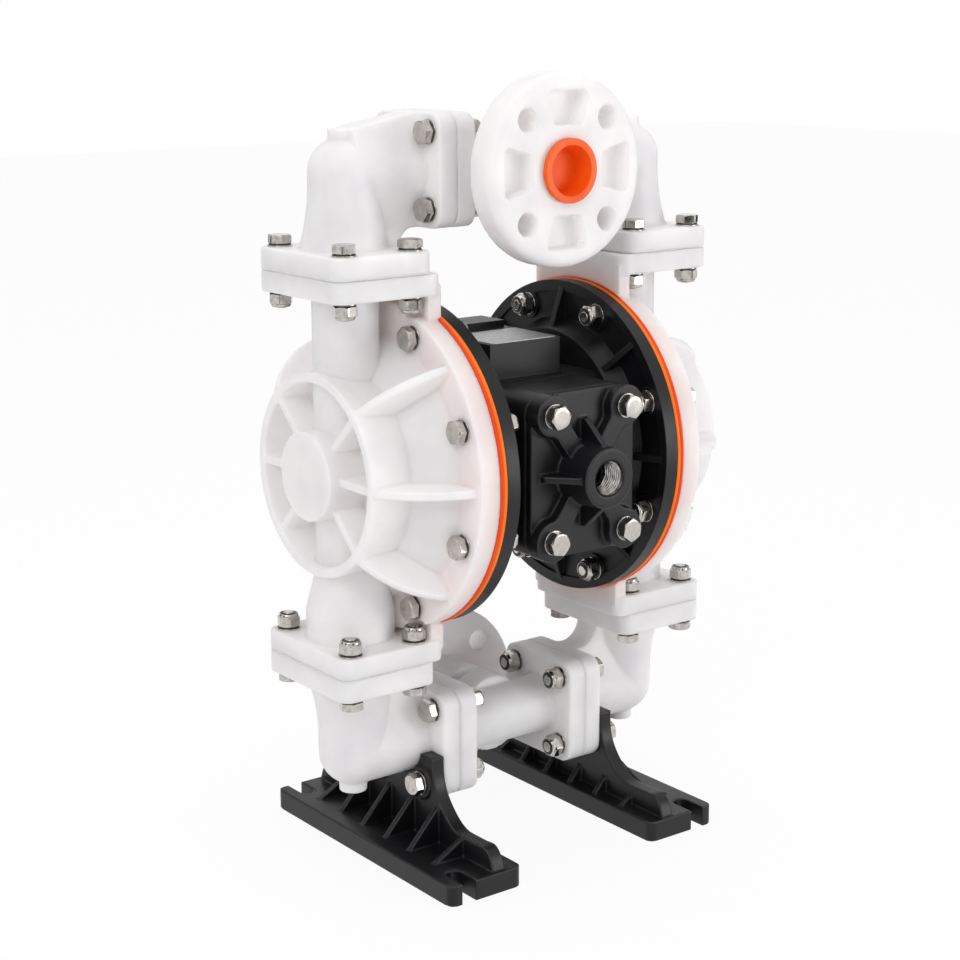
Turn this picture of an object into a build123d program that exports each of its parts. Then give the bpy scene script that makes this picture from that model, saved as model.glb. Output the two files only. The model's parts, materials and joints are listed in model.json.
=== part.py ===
"""Air operated double diaphragm pump with DN25 flanged ports, in millimetres.

X runs along the diaphragm rod, -Y is the front with the air inlet and the discharge flange,
+Y is the rear with the suction flange and the exhaust, and +Z is up. The feet stand on Z = 0.
The right half (+X) is drawn, and the left half is its mirror image.
"""

import os
from math import atan2, cos, degrees, hypot, radians, sin, sqrt, tan

from build123d import *

os.makedirs("parts", exist_ok=True)

# Layout
SUCTION_Z = 70.4  # height of the suction manifold's axis over the floor
UPPER_JOINT_RISE = 120.0  # from the rod axis up to the delivery joint faces of the columns
LOWER_JOINT_DROP = 115.8  # from the rod axis down to the suction joint faces of the columns
MANIFOLD_RISE = 178.0  # from the rod axis to the manifold axes, up and down
COLUMN_X = 109.2  # from the centre plane to the column axes
SIDE_JOINT_X = 50.6  # from the centre plane to the joint faces of the manifolds
FLOW_R = 14.0  # radius of the liquid passages

# Clearances
RUN = 0.05  # radial, between a sliding shaft and its bore
GAP = 0.3  # between faces of pieces that move apart
HOLE_PLAY = 0.5  # radial, around a bolt

# M8 fasteners
BOLT_R = 4.0
HEAD_ACROSS = 13.0
HEAD_H = 5.3
NUT_H = 8.0
WASHER_R = 8.0
WASHER_T = 1.6
THREAD_END = 0.7  # thread that stands out of a nut
SPOT_H = 13.0  # height kept free over a washer for the head or nut and a tool
BOLT_HOLE_R = BOLT_R + HOLE_PLAY

# Liquid chambers
RIM_R = 101.0  # outside of the clamped rims
RIM_BOLT_R = 89.0
RIM_BOLTS = 8
CHAMBER_X = 71.0  # inner face of the liquid chamber's rim
CHAMBER_RIM_T = 13.8
DOME_FOOT_R = 82.0
DOME_END_R = 60.0
DOME_X = 105.0
DOME_ROUND = 8.0
CAVITY_MOUTH_R = 78.0
CAVITY_KNEE_X = 80.0
CAVITY_END_R = 50.0
CAVITY_X = 106.0
DUCT_RISE = 43.0  # from the rod axis to the ducts between bowl and column, up and down
CUP_R = 62.0
CUP_WALL = 6.0
CUP_X = 134.0
CUP_FLOOR_X = 112.0
HUB_R = 27.0
HUB_X = 140.0
SPOKE_X = 132.5
RIB_T = 5.0
RIB_FOOT_R = 97.5
RIB_CROWN = (115.0, 83.0)  # X and radius of a point half way along a rib's crest
COLUMN_R = 20.0
COLUMN_REACH = 22.0  # lowest point of the column above the rod axis
BELL_R = 27.0
BELL_RISE = 17.0  # straight height of the ball cage above its flange
BELL_TAPER = 28.0

# Flanges of the columns
PAD_X = 34.0  # half size along X
PAD_Y = 44.0  # half size along Y
PAD_T = 12.8  # on the chambers
ELBOW_PAD_T = 14.0
PAD_CORNER = 8.0
PAD_BOLT_X = 23.0
PAD_BOLT_Y = 34.5
BRIDGE_X = 69.0  # inner face of the web between a chamber's rim and its flanges
BRIDGE_T = 9.0

# Elbows
ELBOW_FOOT_R = 27.0
ELBOW_NECK_RISE = 52.0
ELBOW_R = 21.0
ARM_WEB_T = 20.0
ARM_WEB_LAND = 2.0
SQUARE = 34.0  # half size of the manifold flanges
SQUARE_CORNER = 10.0
SQUARE_BOLT = 22.8
ELBOW_SQUARE_T = 13.2
MANIFOLD_SQUARE_T = 13.1
DRAIN_R = 8.7
DRAIN_RISE = 25.9  # from the elbow's axis to the end of its drain boss
CAGE_PLAY = 2.5  # radial room round a ball
STOP_T = 3.5  # thickness of the rib that stops a ball
STOP_H = 6.0

# Check valves
BALL_R = 15.0
BALL_LIFT = 8.0
SEAT_R = 21.5
SEAT_H = 8.0
SEAT_BORE_R = 10.5
SEAT_MOUTH_R = 14.0
SEAT_ANGLE = 40.0  # half angle of the seat's cone
RING_W = 2.5
RING_T = 2.0

# Ports, PN16 flanges
PORT_FACE_Y = 74.0
PORT_FLANGE_R = 57.5
PORT_FLANGE_T = 20.0
PORT_EDGE = 6.0
PORT_PCD = 85.0
PORT_HOLE_R = 7.0
PORT_R = 16.5
PORT_BORE = 18.0
PORT_NECK_R = 25.0
POCKET_IN_R = 26.5
POCKET_OUT_R = 46.5
POCKET_IN_W = 20.0
POCKET_OUT_W = 31.0
POCKET_DEPTH = 11.0
POCKET_ROUND = 3.0
TUBE_R = 19.0
PLUG_RIM_R = 19.0
PLUG_RIM_T = 3.2
PLUG_MOUTH_R = 15.0
PLUG_FLOOR_R = 12.5
PLUG_DEPTH = 13.0
PLUG_FLOOR_T = 2.0

# Diaphragms, rod and plates
DIAPHRAGM_R = 101.5
DIAPHRAGM_X = 66.0
DIAPHRAGM_RIM_T = CHAMBER_X - DIAPHRAGM_X
DIAPHRAGM_T = 2.4
ROLL_IN_R = 52.0
ROLL_OUT_R = 75.0
ROLL_X = 8.0  # how far the convolution bulges towards the air side
PLATE_R = 48.0
INNER_PLATE_T = 5.0
OUTER_PLATE_T = 9.0
STUD_R = 6.0
STUD_END = 6.0  # length of the stud inside the outer plate
ROD_R = 8.0
STROKE = 9.0  # rod travel each way from mid stroke
BUSH_R = 12.0
BUSH_L = 22.0
SEAL_L = 4.0

# Air side
INNER_X = 56.7  # outer rim face of the air chamber, towards the centre
INNER_STEP = 1.5
INNER_RIM_W = 7.0
NUT_PAD_R = 9.5
INNER_WALL_R = 77.0
INNER_BACK_R = 71.0
CENTRE_X = 46.0  # half length of the centre body
INNER_FLOOR_T = 5.0
INNER_MOUTH_R = 76.0
INNER_FLOOR_R = 66.0
INNER_RIB_T = 4.0
BODY_Y = 48.0
BODY_Z = 50.0
BODY_EDGE = 6.0
TOP_X = 27.5
TOP_Y = 34.0
TOP_RISE = 72.1
REAR_TOP_X = 24.0
REAR_TOP_Y = 18.0
REAR_TOP_RISE = 76.5
SUMP_X = 20.0
SUMP_Y = 24.0
SUMP_DROP = 58.0
SCREW_R = 3.0
SCREW_HEAD_R = 6.0
SCREW_HEAD_H = 3.0
SCREW_L = 22.0
SCREW_CIRCLE_R = 34.0

# Pilot valve
PILOT_RISE = 38.0
PILOT_R = 4.0
PILOT_SLEEVE_R = 7.0
PILOT_LAND_R = 3.0
PILOT_RATIO = 1 / 3  # pilot travel for each unit of rod travel

# Air valve
VALVE_SIDE = 6.0  # free room between the air valve and each air chamber
VALVE_Z = 50.0
VALVE_CORNER = 12.5
VALVE_BACK_Y = 48.0
VALVE_FRONT_Y = 83.0
GASKET_T = 1.5
CAP_PLATE_T = 5.0
CAP_ARM_T = 7.2
CAP_BOSS_R = 12.5
CAP_ARM_W = 12.2
CAP_ARM_ROUND = 9.0
CAP_BOLT_IN = 12.0  # from the cap's edges to its screws
CAP_BOLT_L = 60.0
PORT_BOSS_R = 18.2
PORT_BOSS_FOOT_R = 20.4
PORT_BOSS_ROUND = 1.2
PORT_BOSS_Y = 113.9
CAP_RIB_T = 4.0
CAP_RIB_R = 33.0
INLET_R = 9.3
INSERT_R = 10.7
INSERT_L = 16.0
AIR_DUCT_R = 7.5
SPOOL_R = 9.0
SLEEVE_R = 13.0
SPOOL_Y = 65.5
SPOOL_L = 66.0
SPOOL_LIFT = 10.0
SPOOL_WAIST_R = 6.0
SPOOL_LANDS = 3
LAND_H = 12.0
SPOOL_RING_T = 2.0
SPOOL_RING_W = 1.6
SLEEVE_PORT_R = 2.5

# Exhaust muffler
MUFFLER_R = 20.0
MUFFLER_Y = 54.0
MUFFLER_END_Y = PORT_BOSS_Y
MUFFLER_STUB_R = 10.0
MUFFLER_STUB_L = 14.0
MUFFLER_SLOTS = 12
MUFFLER_SLOT_T = 3.0
MUFFLER_SLOT_IN = 8.0

# Feet
FOOT_IN_X = 52.0
FOOT_OUT_X = 105.6
FOOT_Y = 97.3
FOOT_T = 13.0
WEB_T = 9.0
WEB_PEAK_Z = 66.0
WEB_CURVE = ((34.0, 60.0), (41.0, 39.5), (56.0, 27.0), (72.0, 25.5))  # Y and Z of the web's hollow edge
WEB_BUMP = ((83.0, 26.0), (95.0, 13.0))
WEB_BOSS_R = 10.0
WEB_BOSS_T = 2.0
SLOT_R = 5.0
SLOT_DEPTH = 20.0
SLOT_X = 92.0
GUSSET_T = 4.0
GUSSET_REACH = 95.0  # X where the outer gussets end
GUSSET_PITCH = 25.5
GUSSETS = 6
GUSSET_RISE = 25.0

ROD_Z = SUCTION_Z + MANIFOLD_RISE
UPPER_JOINT_Z = ROD_Z + UPPER_JOINT_RISE
LOWER_JOINT_Z = ROD_Z - LOWER_JOINT_DROP
UPPER_AXIS_Z = ROD_Z + MANIFOLD_RISE
LOWER_AXIS_Z = ROD_Z - MANIFOLD_RISE
FLOOR_X = CENTRE_X + INNER_FLOOR_T
MID_X = CHAMBER_X - DIAPHRAGM_RIM_T / 2
INNER_PLATE_X = MID_X - DIAPHRAGM_T / 2 - GAP - INNER_PLATE_T
OUTER_PLATE_X = MID_X + DIAPHRAGM_T / 2 + GAP
FOOT_WEB_X = SIDE_JOINT_X + ELBOW_SQUARE_T
SEAT_CONE_H = (SEAT_MOUTH_R - SEAT_BORE_R) / tan(radians(SEAT_ANGLE))
BALL_TOUCH_H = ((BALL_R + GAP) * cos(radians(SEAT_ANGLE)) - SEAT_BORE_R) / tan(radians(SEAT_ANGLE))
BALL_SIT = BALL_TOUCH_H + (BALL_R + GAP) * sin(radians(SEAT_ANGLE)) - SEAT_CONE_H
STOP_RISE = BALL_SIT + BALL_R + BALL_LIFT + GAP
SLEEVE_HALF = (SPOOL_L + SPOOL_LIFT) / 2 + GAP
CAGE_R = BALL_R + CAGE_PLAY
VALVE_X = CENTRE_X - VALVE_SIDE
CAP_BOLT_X = VALVE_X - CAP_BOLT_IN
CAP_BOLT_Z = VALVE_Z - CAP_BOLT_IN
CAP_BACK_Y = VALVE_FRONT_Y + GASKET_T
CAP_FACE_Y = CAP_BACK_Y + CAP_PLATE_T + CAP_ARM_T
CAP_ARM_ANGLE = degrees(atan2(CAP_BOLT_Z, CAP_BOLT_X))
PILOT_HALF = INNER_PLATE_X - STROKE * (1 - PILOT_RATIO) - GAP
WEB_FACE_X = FOOT_WEB_X + WEB_T
WEB_SADDLE_R = ELBOW_R + HOLE_PLAY
MIDDLE = Plane.XY.offset(ROD_Z)


def radial_plane(angle: float) -> Plane:
    """Plane through the rod axis: local X runs outwards along the rod, local Y radially at this angle from -Y."""
    out = (0, -cos(radians(angle)), sin(radians(angle)))
    return Plane(origin=(0, 0, ROD_Z), x_dir=(1, 0, 0), z_dir=Vector(1, 0, 0).cross(Vector(*out)))


def facing(point: tuple, direction: tuple, across: tuple = (0, 0, 1)) -> Location:
    """Place whose Z looks along the direction, for pieces that are drawn along +Z."""
    return Plane(origin=point, x_dir=across, z_dir=direction).location


ROD_AXIS = Axis((0, 0, ROD_Z), (1, 0, 0))
SECTION = radial_plane(90)


def hex_bolt(grip: float, end: float = WASHER_T + NUT_H + THREAD_END) -> Part:
    """Hex bolt with its washer: the washer lies on Z = 0, the head above it and the shank below."""
    with BuildPart() as bolt:
        Cylinder(WASHER_R, WASHER_T, align=(Align.CENTER, Align.CENTER, Align.MIN))
        with BuildSketch(Plane.XY.offset(WASHER_T)):
            RegularPolygon(HEAD_ACROSS / 2, 6, major_radius=False)
        extrude(amount=HEAD_H)
        Cylinder(BOLT_R, grip + end, align=(Align.CENTER, Align.CENTER, Align.MAX))
    return bolt.part


def lock_nut() -> Part:
    """Lock nut with its washer on Z = 0, bored for the bolt's shank."""
    with BuildPart() as nut:
        Cylinder(WASHER_R, WASHER_T, align=(Align.CENTER, Align.CENTER, Align.MIN))
        with BuildSketch(Plane.XY.offset(WASHER_T)):
            RegularPolygon(HEAD_ACROSS / 2, 6, major_radius=False)
        extrude(amount=NUT_H)
        Cylinder(BOLT_R + RUN, WASHER_T + NUT_H, align=(Align.CENTER, Align.CENTER, Align.MIN), mode=Mode.SUBTRACT)
    return nut.part


# Bolt places. Each is a point on the face that the bolt's washer rests on.
RIM_PLACES = [
    (RIM_BOLT_R * cos(radians(a)), ROD_Z + RIM_BOLT_R * sin(radians(a)))
    for a in [(i + 0.5) * 360 / RIM_BOLTS for i in range(RIM_BOLTS)]
]
PAD_PLACES = [(COLUMN_X + i * PAD_BOLT_X, j * PAD_BOLT_Y) for i in (-1, 1) for j in (-1, 1)]
SQUARE_PLACES = [(i * SQUARE_BOLT, j * SQUARE_BOLT) for i in (-1, 1) for j in (-1, 1)]


# Liquid chamber: a domed bowl with a ribbed cup, a column up to its delivery valve and a ball cage below
with BuildPart() as right_outer_chamber:
    with BuildSketch(SECTION):
        with BuildLine():
            Polyline(
                (CHAMBER_X, 0),
                (CHAMBER_X, RIM_R),
                (CHAMBER_X + CHAMBER_RIM_T, RIM_R),
                (CHAMBER_X + CHAMBER_RIM_T, DOME_FOOT_R),
                (DOME_X, DOME_END_R),
                (CUP_X, CUP_R),
                (CUP_X, CUP_R - CUP_WALL),
                (CUP_FLOOR_X, CUP_R - CUP_WALL),
                (CUP_FLOOR_X, HUB_R),
                (HUB_X, HUB_R),
                (HUB_X, 0),
                close=True,
            )
        make_face()
    revolve(axis=ROD_AXIS)
    # the flanges at the column's ends, the webs that join them to the rim, the column and the ball cage
    for level, up in ((UPPER_JOINT_Z, -1), (LOWER_JOINT_Z, 1)):
        with BuildSketch(Plane.XY.offset(level)):
            with Locations(((BRIDGE_X + COLUMN_X + PAD_X) / 2, 0)):
                RectangleRounded(COLUMN_X + PAD_X - BRIDGE_X, 2 * PAD_Y, PAD_CORNER)
        extrude(amount=up * PAD_T)
        with BuildSketch(Plane.XY.offset(level + up * PAD_T / 2)):
            with Locations((BRIDGE_X + BRIDGE_T / 2, 0)):
                Rectangle(BRIDGE_T, 2 * (PAD_Y - PAD_CORNER / 3))
        extrude(amount=up * (abs(level - ROD_Z) - PAD_T / 2 - DOME_FOOT_R))
    with BuildSketch(Plane.YZ.offset(BRIDGE_X)):
        with Locations((0, ROD_Z)):
            Circle(DIAPHRAGM_R + HOLE_PLAY)
    extrude(amount=CHAMBER_X - BRIDGE_X, mode=Mode.SUBTRACT)
    with BuildSketch(Plane.XY.offset(ROD_Z + COLUMN_REACH)):
        with Locations((COLUMN_X, 0)):
            Circle(COLUMN_R)
    extrude(amount=UPPER_JOINT_RISE - PAD_T - COLUMN_REACH)
    with BuildSketch(Plane.XY.offset(LOWER_JOINT_Z)):
        with Locations((COLUMN_X, 0)):
            Circle(BELL_R)
    extrude(amount=PAD_T + BELL_RISE)
    with BuildSketch(Plane.XY.offset(LOWER_JOINT_Z + PAD_T + BELL_RISE)):
        with Locations((COLUMN_X, 0)):
            Circle(BELL_R)
    with BuildSketch(Plane.XY.offset(LOWER_JOINT_Z + PAD_T + BELL_RISE + BELL_TAPER)):
        with Locations((COLUMN_X, 0)):
            Circle(COLUMN_R)
    loft()
    with BuildSketch(Plane.XY.offset(LOWER_JOINT_Z + PAD_T + BELL_RISE + BELL_TAPER)):
        with Locations((COLUMN_X, 0)):
            Circle(COLUMN_R)
    extrude(amount=LOWER_JOINT_DROP - PAD_T - BELL_RISE - BELL_TAPER - COLUMN_REACH)
    # ribs over the dome and spokes inside the cup
    for angle in (-45, 0, 45, 135, 180, 225):
        with BuildSketch(radial_plane(angle)):
            with BuildLine():
                foot = (CHAMBER_X + CHAMBER_RIM_T, RIB_FOOT_R)
                end = (CUP_X, CUP_R - CUP_WALL / 2)
                crest = ThreePointArc(foot, RIB_CROWN, end)
                Polyline(end, (CAVITY_X + 2, CUP_R - CUP_WALL / 2), (CHAMBER_X + 5, RIB_FOOT_R - 15), foot)
            make_face()
            with Locations(((CUP_FLOOR_X + SPOKE_X) / 2 - 1, (HUB_R + CUP_R) / 2 - CUP_WALL / 2)):
                Rectangle(SPOKE_X - CUP_FLOOR_X + 2, CUP_R - HUB_R)
        extrude(amount=RIB_T / 2, both=True)
    # the bowl's inside, the passages and the seats
    with BuildSketch(SECTION):
        with BuildLine():
            Polyline(
                (CHAMBER_X, 0),
                (CHAMBER_X, CAVITY_MOUTH_R),
                (CAVITY_KNEE_X, CAVITY_MOUTH_R),
                (CAVITY_X, CAVITY_END_R),
                (CAVITY_X, 0),
                close=True,
            )
        hollow = make_face()
        fillet(hollow.vertices().sort_by_distance((CAVITY_X, 0, ROD_Z + CAVITY_END_R))[0], DOME_ROUND)
    revolve(axis=ROD_AXIS, mode=Mode.SUBTRACT)
    for rise in (1, -1):
        with BuildSketch(Plane.XY.offset(ROD_Z + rise * (DUCT_RISE - FLOW_R))):
            with Locations((COLUMN_X, 0)):
                Circle(FLOW_R)
        extrude(amount=rise * UPPER_JOINT_RISE, mode=Mode.SUBTRACT)
        with BuildSketch(Plane.YZ.offset(CAVITY_X - DOME_ROUND)):
            with Locations((0, ROD_Z + rise * DUCT_RISE)):
                Circle(FLOW_R - 1)
        extrude(amount=COLUMN_X - CAVITY_X + DOME_ROUND, mode=Mode.SUBTRACT)
    with BuildSketch(Plane.XY.offset(UPPER_JOINT_Z)):
        with Locations((COLUMN_X, 0)):
            Circle(SEAT_R)
    extrude(amount=-SEAT_H - RING_T, mode=Mode.SUBTRACT)
    with BuildSketch(Plane.XY.offset(LOWER_JOINT_Z)):
        with Locations((COLUMN_X, 0)):
            Circle(CAGE_R)
    extrude(amount=STOP_RISE + STOP_H, mode=Mode.SUBTRACT)
    with BuildSketch(Plane.XY.offset(LOWER_JOINT_Z + STOP_RISE)):
        with Locations((COLUMN_X, 0)):
            Rectangle(2 * CAGE_R + 2, STOP_T)
    extrude(amount=STOP_H)
    # bolt holes
    with BuildSketch(Plane.YZ.offset(CHAMBER_X)):
        with Locations(*RIM_PLACES):
            Circle(BOLT_HOLE_R)
    extrude(amount=CHAMBER_RIM_T, mode=Mode.SUBTRACT)
    with BuildSketch(Plane.YZ.offset(CHAMBER_X + CHAMBER_RIM_T)):
        with Locations(*RIM_PLACES):
            Circle(WASHER_R + HOLE_PLAY)
    extrude(amount=SPOT_H, mode=Mode.SUBTRACT)
    for level, up in ((UPPER_JOINT_Z, -1), (LOWER_JOINT_Z, 1)):
        with BuildSketch(Plane.XY.offset(level)):
            with Locations(*PAD_PLACES):
                Circle(BOLT_HOLE_R)
        extrude(amount=up * PAD_T, mode=Mode.SUBTRACT)
        with BuildSketch(Plane.XY.offset(level + up * PAD_T)):
            with Locations(*PAD_PLACES):
                Circle(WASHER_R + HOLE_PLAY)
        extrude(amount=up * SPOT_H, mode=Mode.SUBTRACT)
with BuildPart() as left_outer_chamber:
    mirror(right_outer_chamber.part, about=Plane.YZ)


def elbow(joint_rise: float, upper: bool) -> Part:
    """Right-hand elbow on a joint at joint_rise over the rod axis, drawn as it stands above the pump.

    The upper one holds a ball under a stop rib, and its arm rises to the top of its flange. The lower one
    holds the seat of the valve above it.
    """
    joint = ROD_Z + joint_rise
    rise = MANIFOLD_RISE - joint_rise
    upright = Plane(origin=(COLUMN_X, 0, joint), x_dir=(1, 0, 0), z_dir=(0, -1, 0))
    level = Plane(origin=(0, 0, UPPER_AXIS_Z), x_dir=(1, 0, 0), z_dir=(0, -1, 0))
    with BuildPart() as bend:
        with BuildSketch(Plane.XY.offset(joint)):
            with Locations((COLUMN_X, 0)):
                RectangleRounded(2 * PAD_X, 2 * PAD_Y, PAD_CORNER)
        extrude(amount=ELBOW_PAD_T)
        with BuildSketch(upright):
            with BuildLine():
                Polyline((0, rise), (0, 0), (ELBOW_FOOT_R, 0), (ELBOW_FOOT_R, ELBOW_PAD_T))
                TangentArc((ELBOW_R, ELBOW_NECK_RISE), (ELBOW_FOOT_R, ELBOW_PAD_T), tangent=(0, -1))
                Line((ELBOW_R, ELBOW_NECK_RISE), (ELBOW_R, rise))
                RadiusArc((ELBOW_R, rise), (0, rise + ELBOW_R), -ELBOW_R)
                Line((0, rise + ELBOW_R), (0, rise))
            make_face()
        revolve(axis=Axis((COLUMN_X, 0, 0), (0, 0, 1)))
        for x, top in ((FOOT_WEB_X, SQUARE if upper else 0), (COLUMN_X, DRAIN_RISE if upper else 0)):
            with BuildSketch(Plane.YZ.offset(x)):
                with Locations((0, UPPER_AXIS_Z)):
                    Circle(ELBOW_R)
                with Locations((0, UPPER_AXIS_Z + (top - SQUARE) / 2)):
                    Rectangle(ARM_WEB_T, top + SQUARE)
                make_hull()
        loft()
        pad_top = ELBOW_PAD_T - rise
        land = (FOOT_WEB_X + ARM_WEB_LAND, -SQUARE)
        heel = (land[0] - SQUARE - pad_top, pad_top)
        with BuildSketch(level):
            with BuildLine():
                Polyline(land, (land[0], 0), (COLUMN_X, 0), (COLUMN_X, pad_top), heel)
                TangentArc(heel, land, tangent=(0, 1))
            make_face()
        extrude(amount=ARM_WEB_T / 2, both=True)
        with BuildSketch(Plane.YZ.offset(SIDE_JOINT_X)):
            with Locations((0, UPPER_AXIS_Z)):
                RectangleRounded(2 * SQUARE, 2 * SQUARE, SQUARE_CORNER)
        extrude(amount=ELBOW_SQUARE_T)
        with BuildSketch(Plane.XY.offset(UPPER_AXIS_Z)):
            with Locations((COLUMN_X, 0)):
                Circle(DRAIN_R)
        extrude(amount=DRAIN_RISE)
        # passages
        with BuildSketch(Plane.XY.offset(joint)):
            with Locations((COLUMN_X, 0)):
                Circle(FLOW_R)
        extrude(amount=rise, mode=Mode.SUBTRACT)
        with BuildSketch(Plane.YZ.offset(SIDE_JOINT_X)):
            with Locations((0, UPPER_AXIS_Z)):
                Circle(FLOW_R)
        extrude(amount=COLUMN_X - SIDE_JOINT_X, mode=Mode.SUBTRACT)
        with Locations((COLUMN_X, 0, UPPER_AXIS_Z)):
            Sphere(FLOW_R, mode=Mode.SUBTRACT)
        with BuildSketch(Plane.YZ.offset(SIDE_JOINT_X)):
            with Locations((0, UPPER_AXIS_Z)):
                Circle(FLOW_R + RING_W)
        extrude(amount=RING_T, mode=Mode.SUBTRACT)
        with BuildSketch(Plane.XY.offset(joint)):
            with Locations((COLUMN_X, 0)):
                Circle(CAGE_R if upper else SEAT_R)
        extrude(amount=STOP_RISE + STOP_H if upper else SEAT_H + RING_T, mode=Mode.SUBTRACT)
        if upper:
            with BuildSketch(Plane.XY.offset(joint + STOP_RISE)):
                with Locations((COLUMN_X, 0)):
                    Rectangle(2 * CAGE_R + 2, STOP_T)
            extrude(amount=STOP_H)
        # bolt holes
        with BuildSketch(Plane.XY.offset(joint)):
            with Locations(*PAD_PLACES):
                Circle(BOLT_HOLE_R)
        extrude(amount=ELBOW_PAD_T + 4 * BOLT_R, mode=Mode.SUBTRACT)
        with BuildSketch(Plane.YZ.offset(SIDE_JOINT_X)):
            with Locations(*[(y, UPPER_AXIS_Z + z) for y, z in SQUARE_PLACES]):
                Circle(BOLT_HOLE_R)
        extrude(amount=ELBOW_SQUARE_T, mode=Mode.SUBTRACT)
    return bend.part


with BuildPart() as upper_right_elbow:
    add(elbow(UPPER_JOINT_RISE, upper=True))
with BuildPart() as upper_left_elbow:
    mirror(upper_right_elbow.part, about=Plane.YZ)
with BuildPart() as lower_right_elbow:
    mirror(elbow(LOWER_JOINT_DROP, upper=False), about=MIDDLE)
    # room for the foot's web, which stands against the flange
    with BuildSketch(Plane.YZ.offset(FOOT_WEB_X)):
        with Locations((0, WEB_PEAK_Z + HOLE_PLAY - SQUARE)):
            Rectangle(3 * SQUARE, 2 * SQUARE)
        with Locations((0, LOWER_AXIS_Z)):
            Circle(ELBOW_R, mode=Mode.SUBTRACT)
    extrude(amount=WEB_T + WEB_BOSS_T + HOLE_PLAY, mode=Mode.SUBTRACT)
with BuildPart() as lower_left_elbow:
    mirror(lower_right_elbow.part, about=Plane.YZ)

# Discharge manifold: a cross tube between two square flanges, with a round port flange in front
FRONT = Plane(origin=(0, -PORT_FACE_Y, UPPER_AXIS_Z), x_dir=(1, 0, 0), z_dir=(0, -1, 0))
with BuildPart() as discharge_manifold:
    with BuildSketch(Plane.YZ):
        with Locations((0, UPPER_AXIS_Z)):
            Circle(TUBE_R)
    extrude(amount=SIDE_JOINT_X, both=True)
    for side in (-1, 1):
        with BuildSketch(Plane.YZ.offset(side * SIDE_JOINT_X)):
            with Locations((0, UPPER_AXIS_Z)):
                RectangleRounded(2 * SQUARE, 2 * SQUARE, SQUARE_CORNER)
        extrude(amount=-side * MANIFOLD_SQUARE_T)
    with BuildSketch(FRONT):
        Circle(PORT_FLANGE_R)
    extrude(amount=-PORT_FLANGE_T)
    rim = discharge_manifold.faces().sort_by(Axis.Y)[0].outer_wire().edges()
    fillet(rim, PORT_EDGE)
    with BuildSketch(FRONT):
        Circle(PORT_NECK_R)
    extrude(amount=-PORT_FACE_Y)
    with BuildSketch(mode=Mode.PRIVATE) as pocket:
        with BuildLine():
            Polyline(
                (POCKET_IN_R, -POCKET_IN_W / 2),
                (POCKET_OUT_R, -POCKET_OUT_W / 2),
                (POCKET_OUT_R, POCKET_OUT_W / 2),
                (POCKET_IN_R, POCKET_IN_W / 2),
                close=True,
            )
        make_face()
        fillet(pocket.vertices(), POCKET_ROUND)
    with BuildSketch(FRONT):
        with PolarLocations(0, 4):
            add(pocket.sketch)
    extrude(amount=-POCKET_DEPTH, mode=Mode.SUBTRACT)
    with BuildSketch(FRONT):
        with PolarLocations(PORT_PCD / 2, 4, start_angle=45):
            Circle(PORT_HOLE_R)
    extrude(amount=-PORT_FLANGE_T, mode=Mode.SUBTRACT)
    with BuildSketch(FRONT):
        Circle(PORT_R)
    extrude(amount=-PORT_BORE, mode=Mode.SUBTRACT)
    with BuildSketch(FRONT):
        Circle(FLOW_R)
    extrude(amount=-PORT_FACE_Y, mode=Mode.SUBTRACT)
    with BuildSketch(Plane.YZ):
        with Locations((0, UPPER_AXIS_Z)):
            Circle(FLOW_R)
    extrude(amount=SIDE_JOINT_X, both=True, mode=Mode.SUBTRACT)
    with BuildSketch(Plane.YZ):
        with Locations(*[(y, UPPER_AXIS_Z + z) for y, z in SQUARE_PLACES]):
            Circle(BOLT_HOLE_R)
    extrude(amount=SIDE_JOINT_X, both=True, mode=Mode.SUBTRACT)
with BuildPart() as suction_manifold:
    mirror(mirror(discharge_manifold.part, about=MIDDLE, mode=Mode.PRIVATE), about=Plane.XZ)

# Transit plugs in the two ports
with BuildPart() as discharge_plug:
    with BuildSketch(FRONT.offset(GAP)):
        Circle(PLUG_RIM_R)
    extrude(amount=PLUG_RIM_T)
    with BuildSketch(FRONT.offset(GAP)):
        Circle(PORT_R - RUN)
    extrude(amount=-(PLUG_DEPTH + PLUG_FLOOR_T - PLUG_RIM_T))
    with BuildSketch(FRONT.offset(GAP + PLUG_RIM_T)):
        Circle(PLUG_MOUTH_R)
    with BuildSketch(FRONT.offset(GAP + PLUG_RIM_T - PLUG_DEPTH)):
        Circle(PLUG_FLOOR_R)
    loft(mode=Mode.SUBTRACT)
with BuildPart() as suction_plug:
    mirror(mirror(discharge_plug.part, about=MIDDLE, mode=Mode.PRIVATE), about=Plane.XZ)

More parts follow.
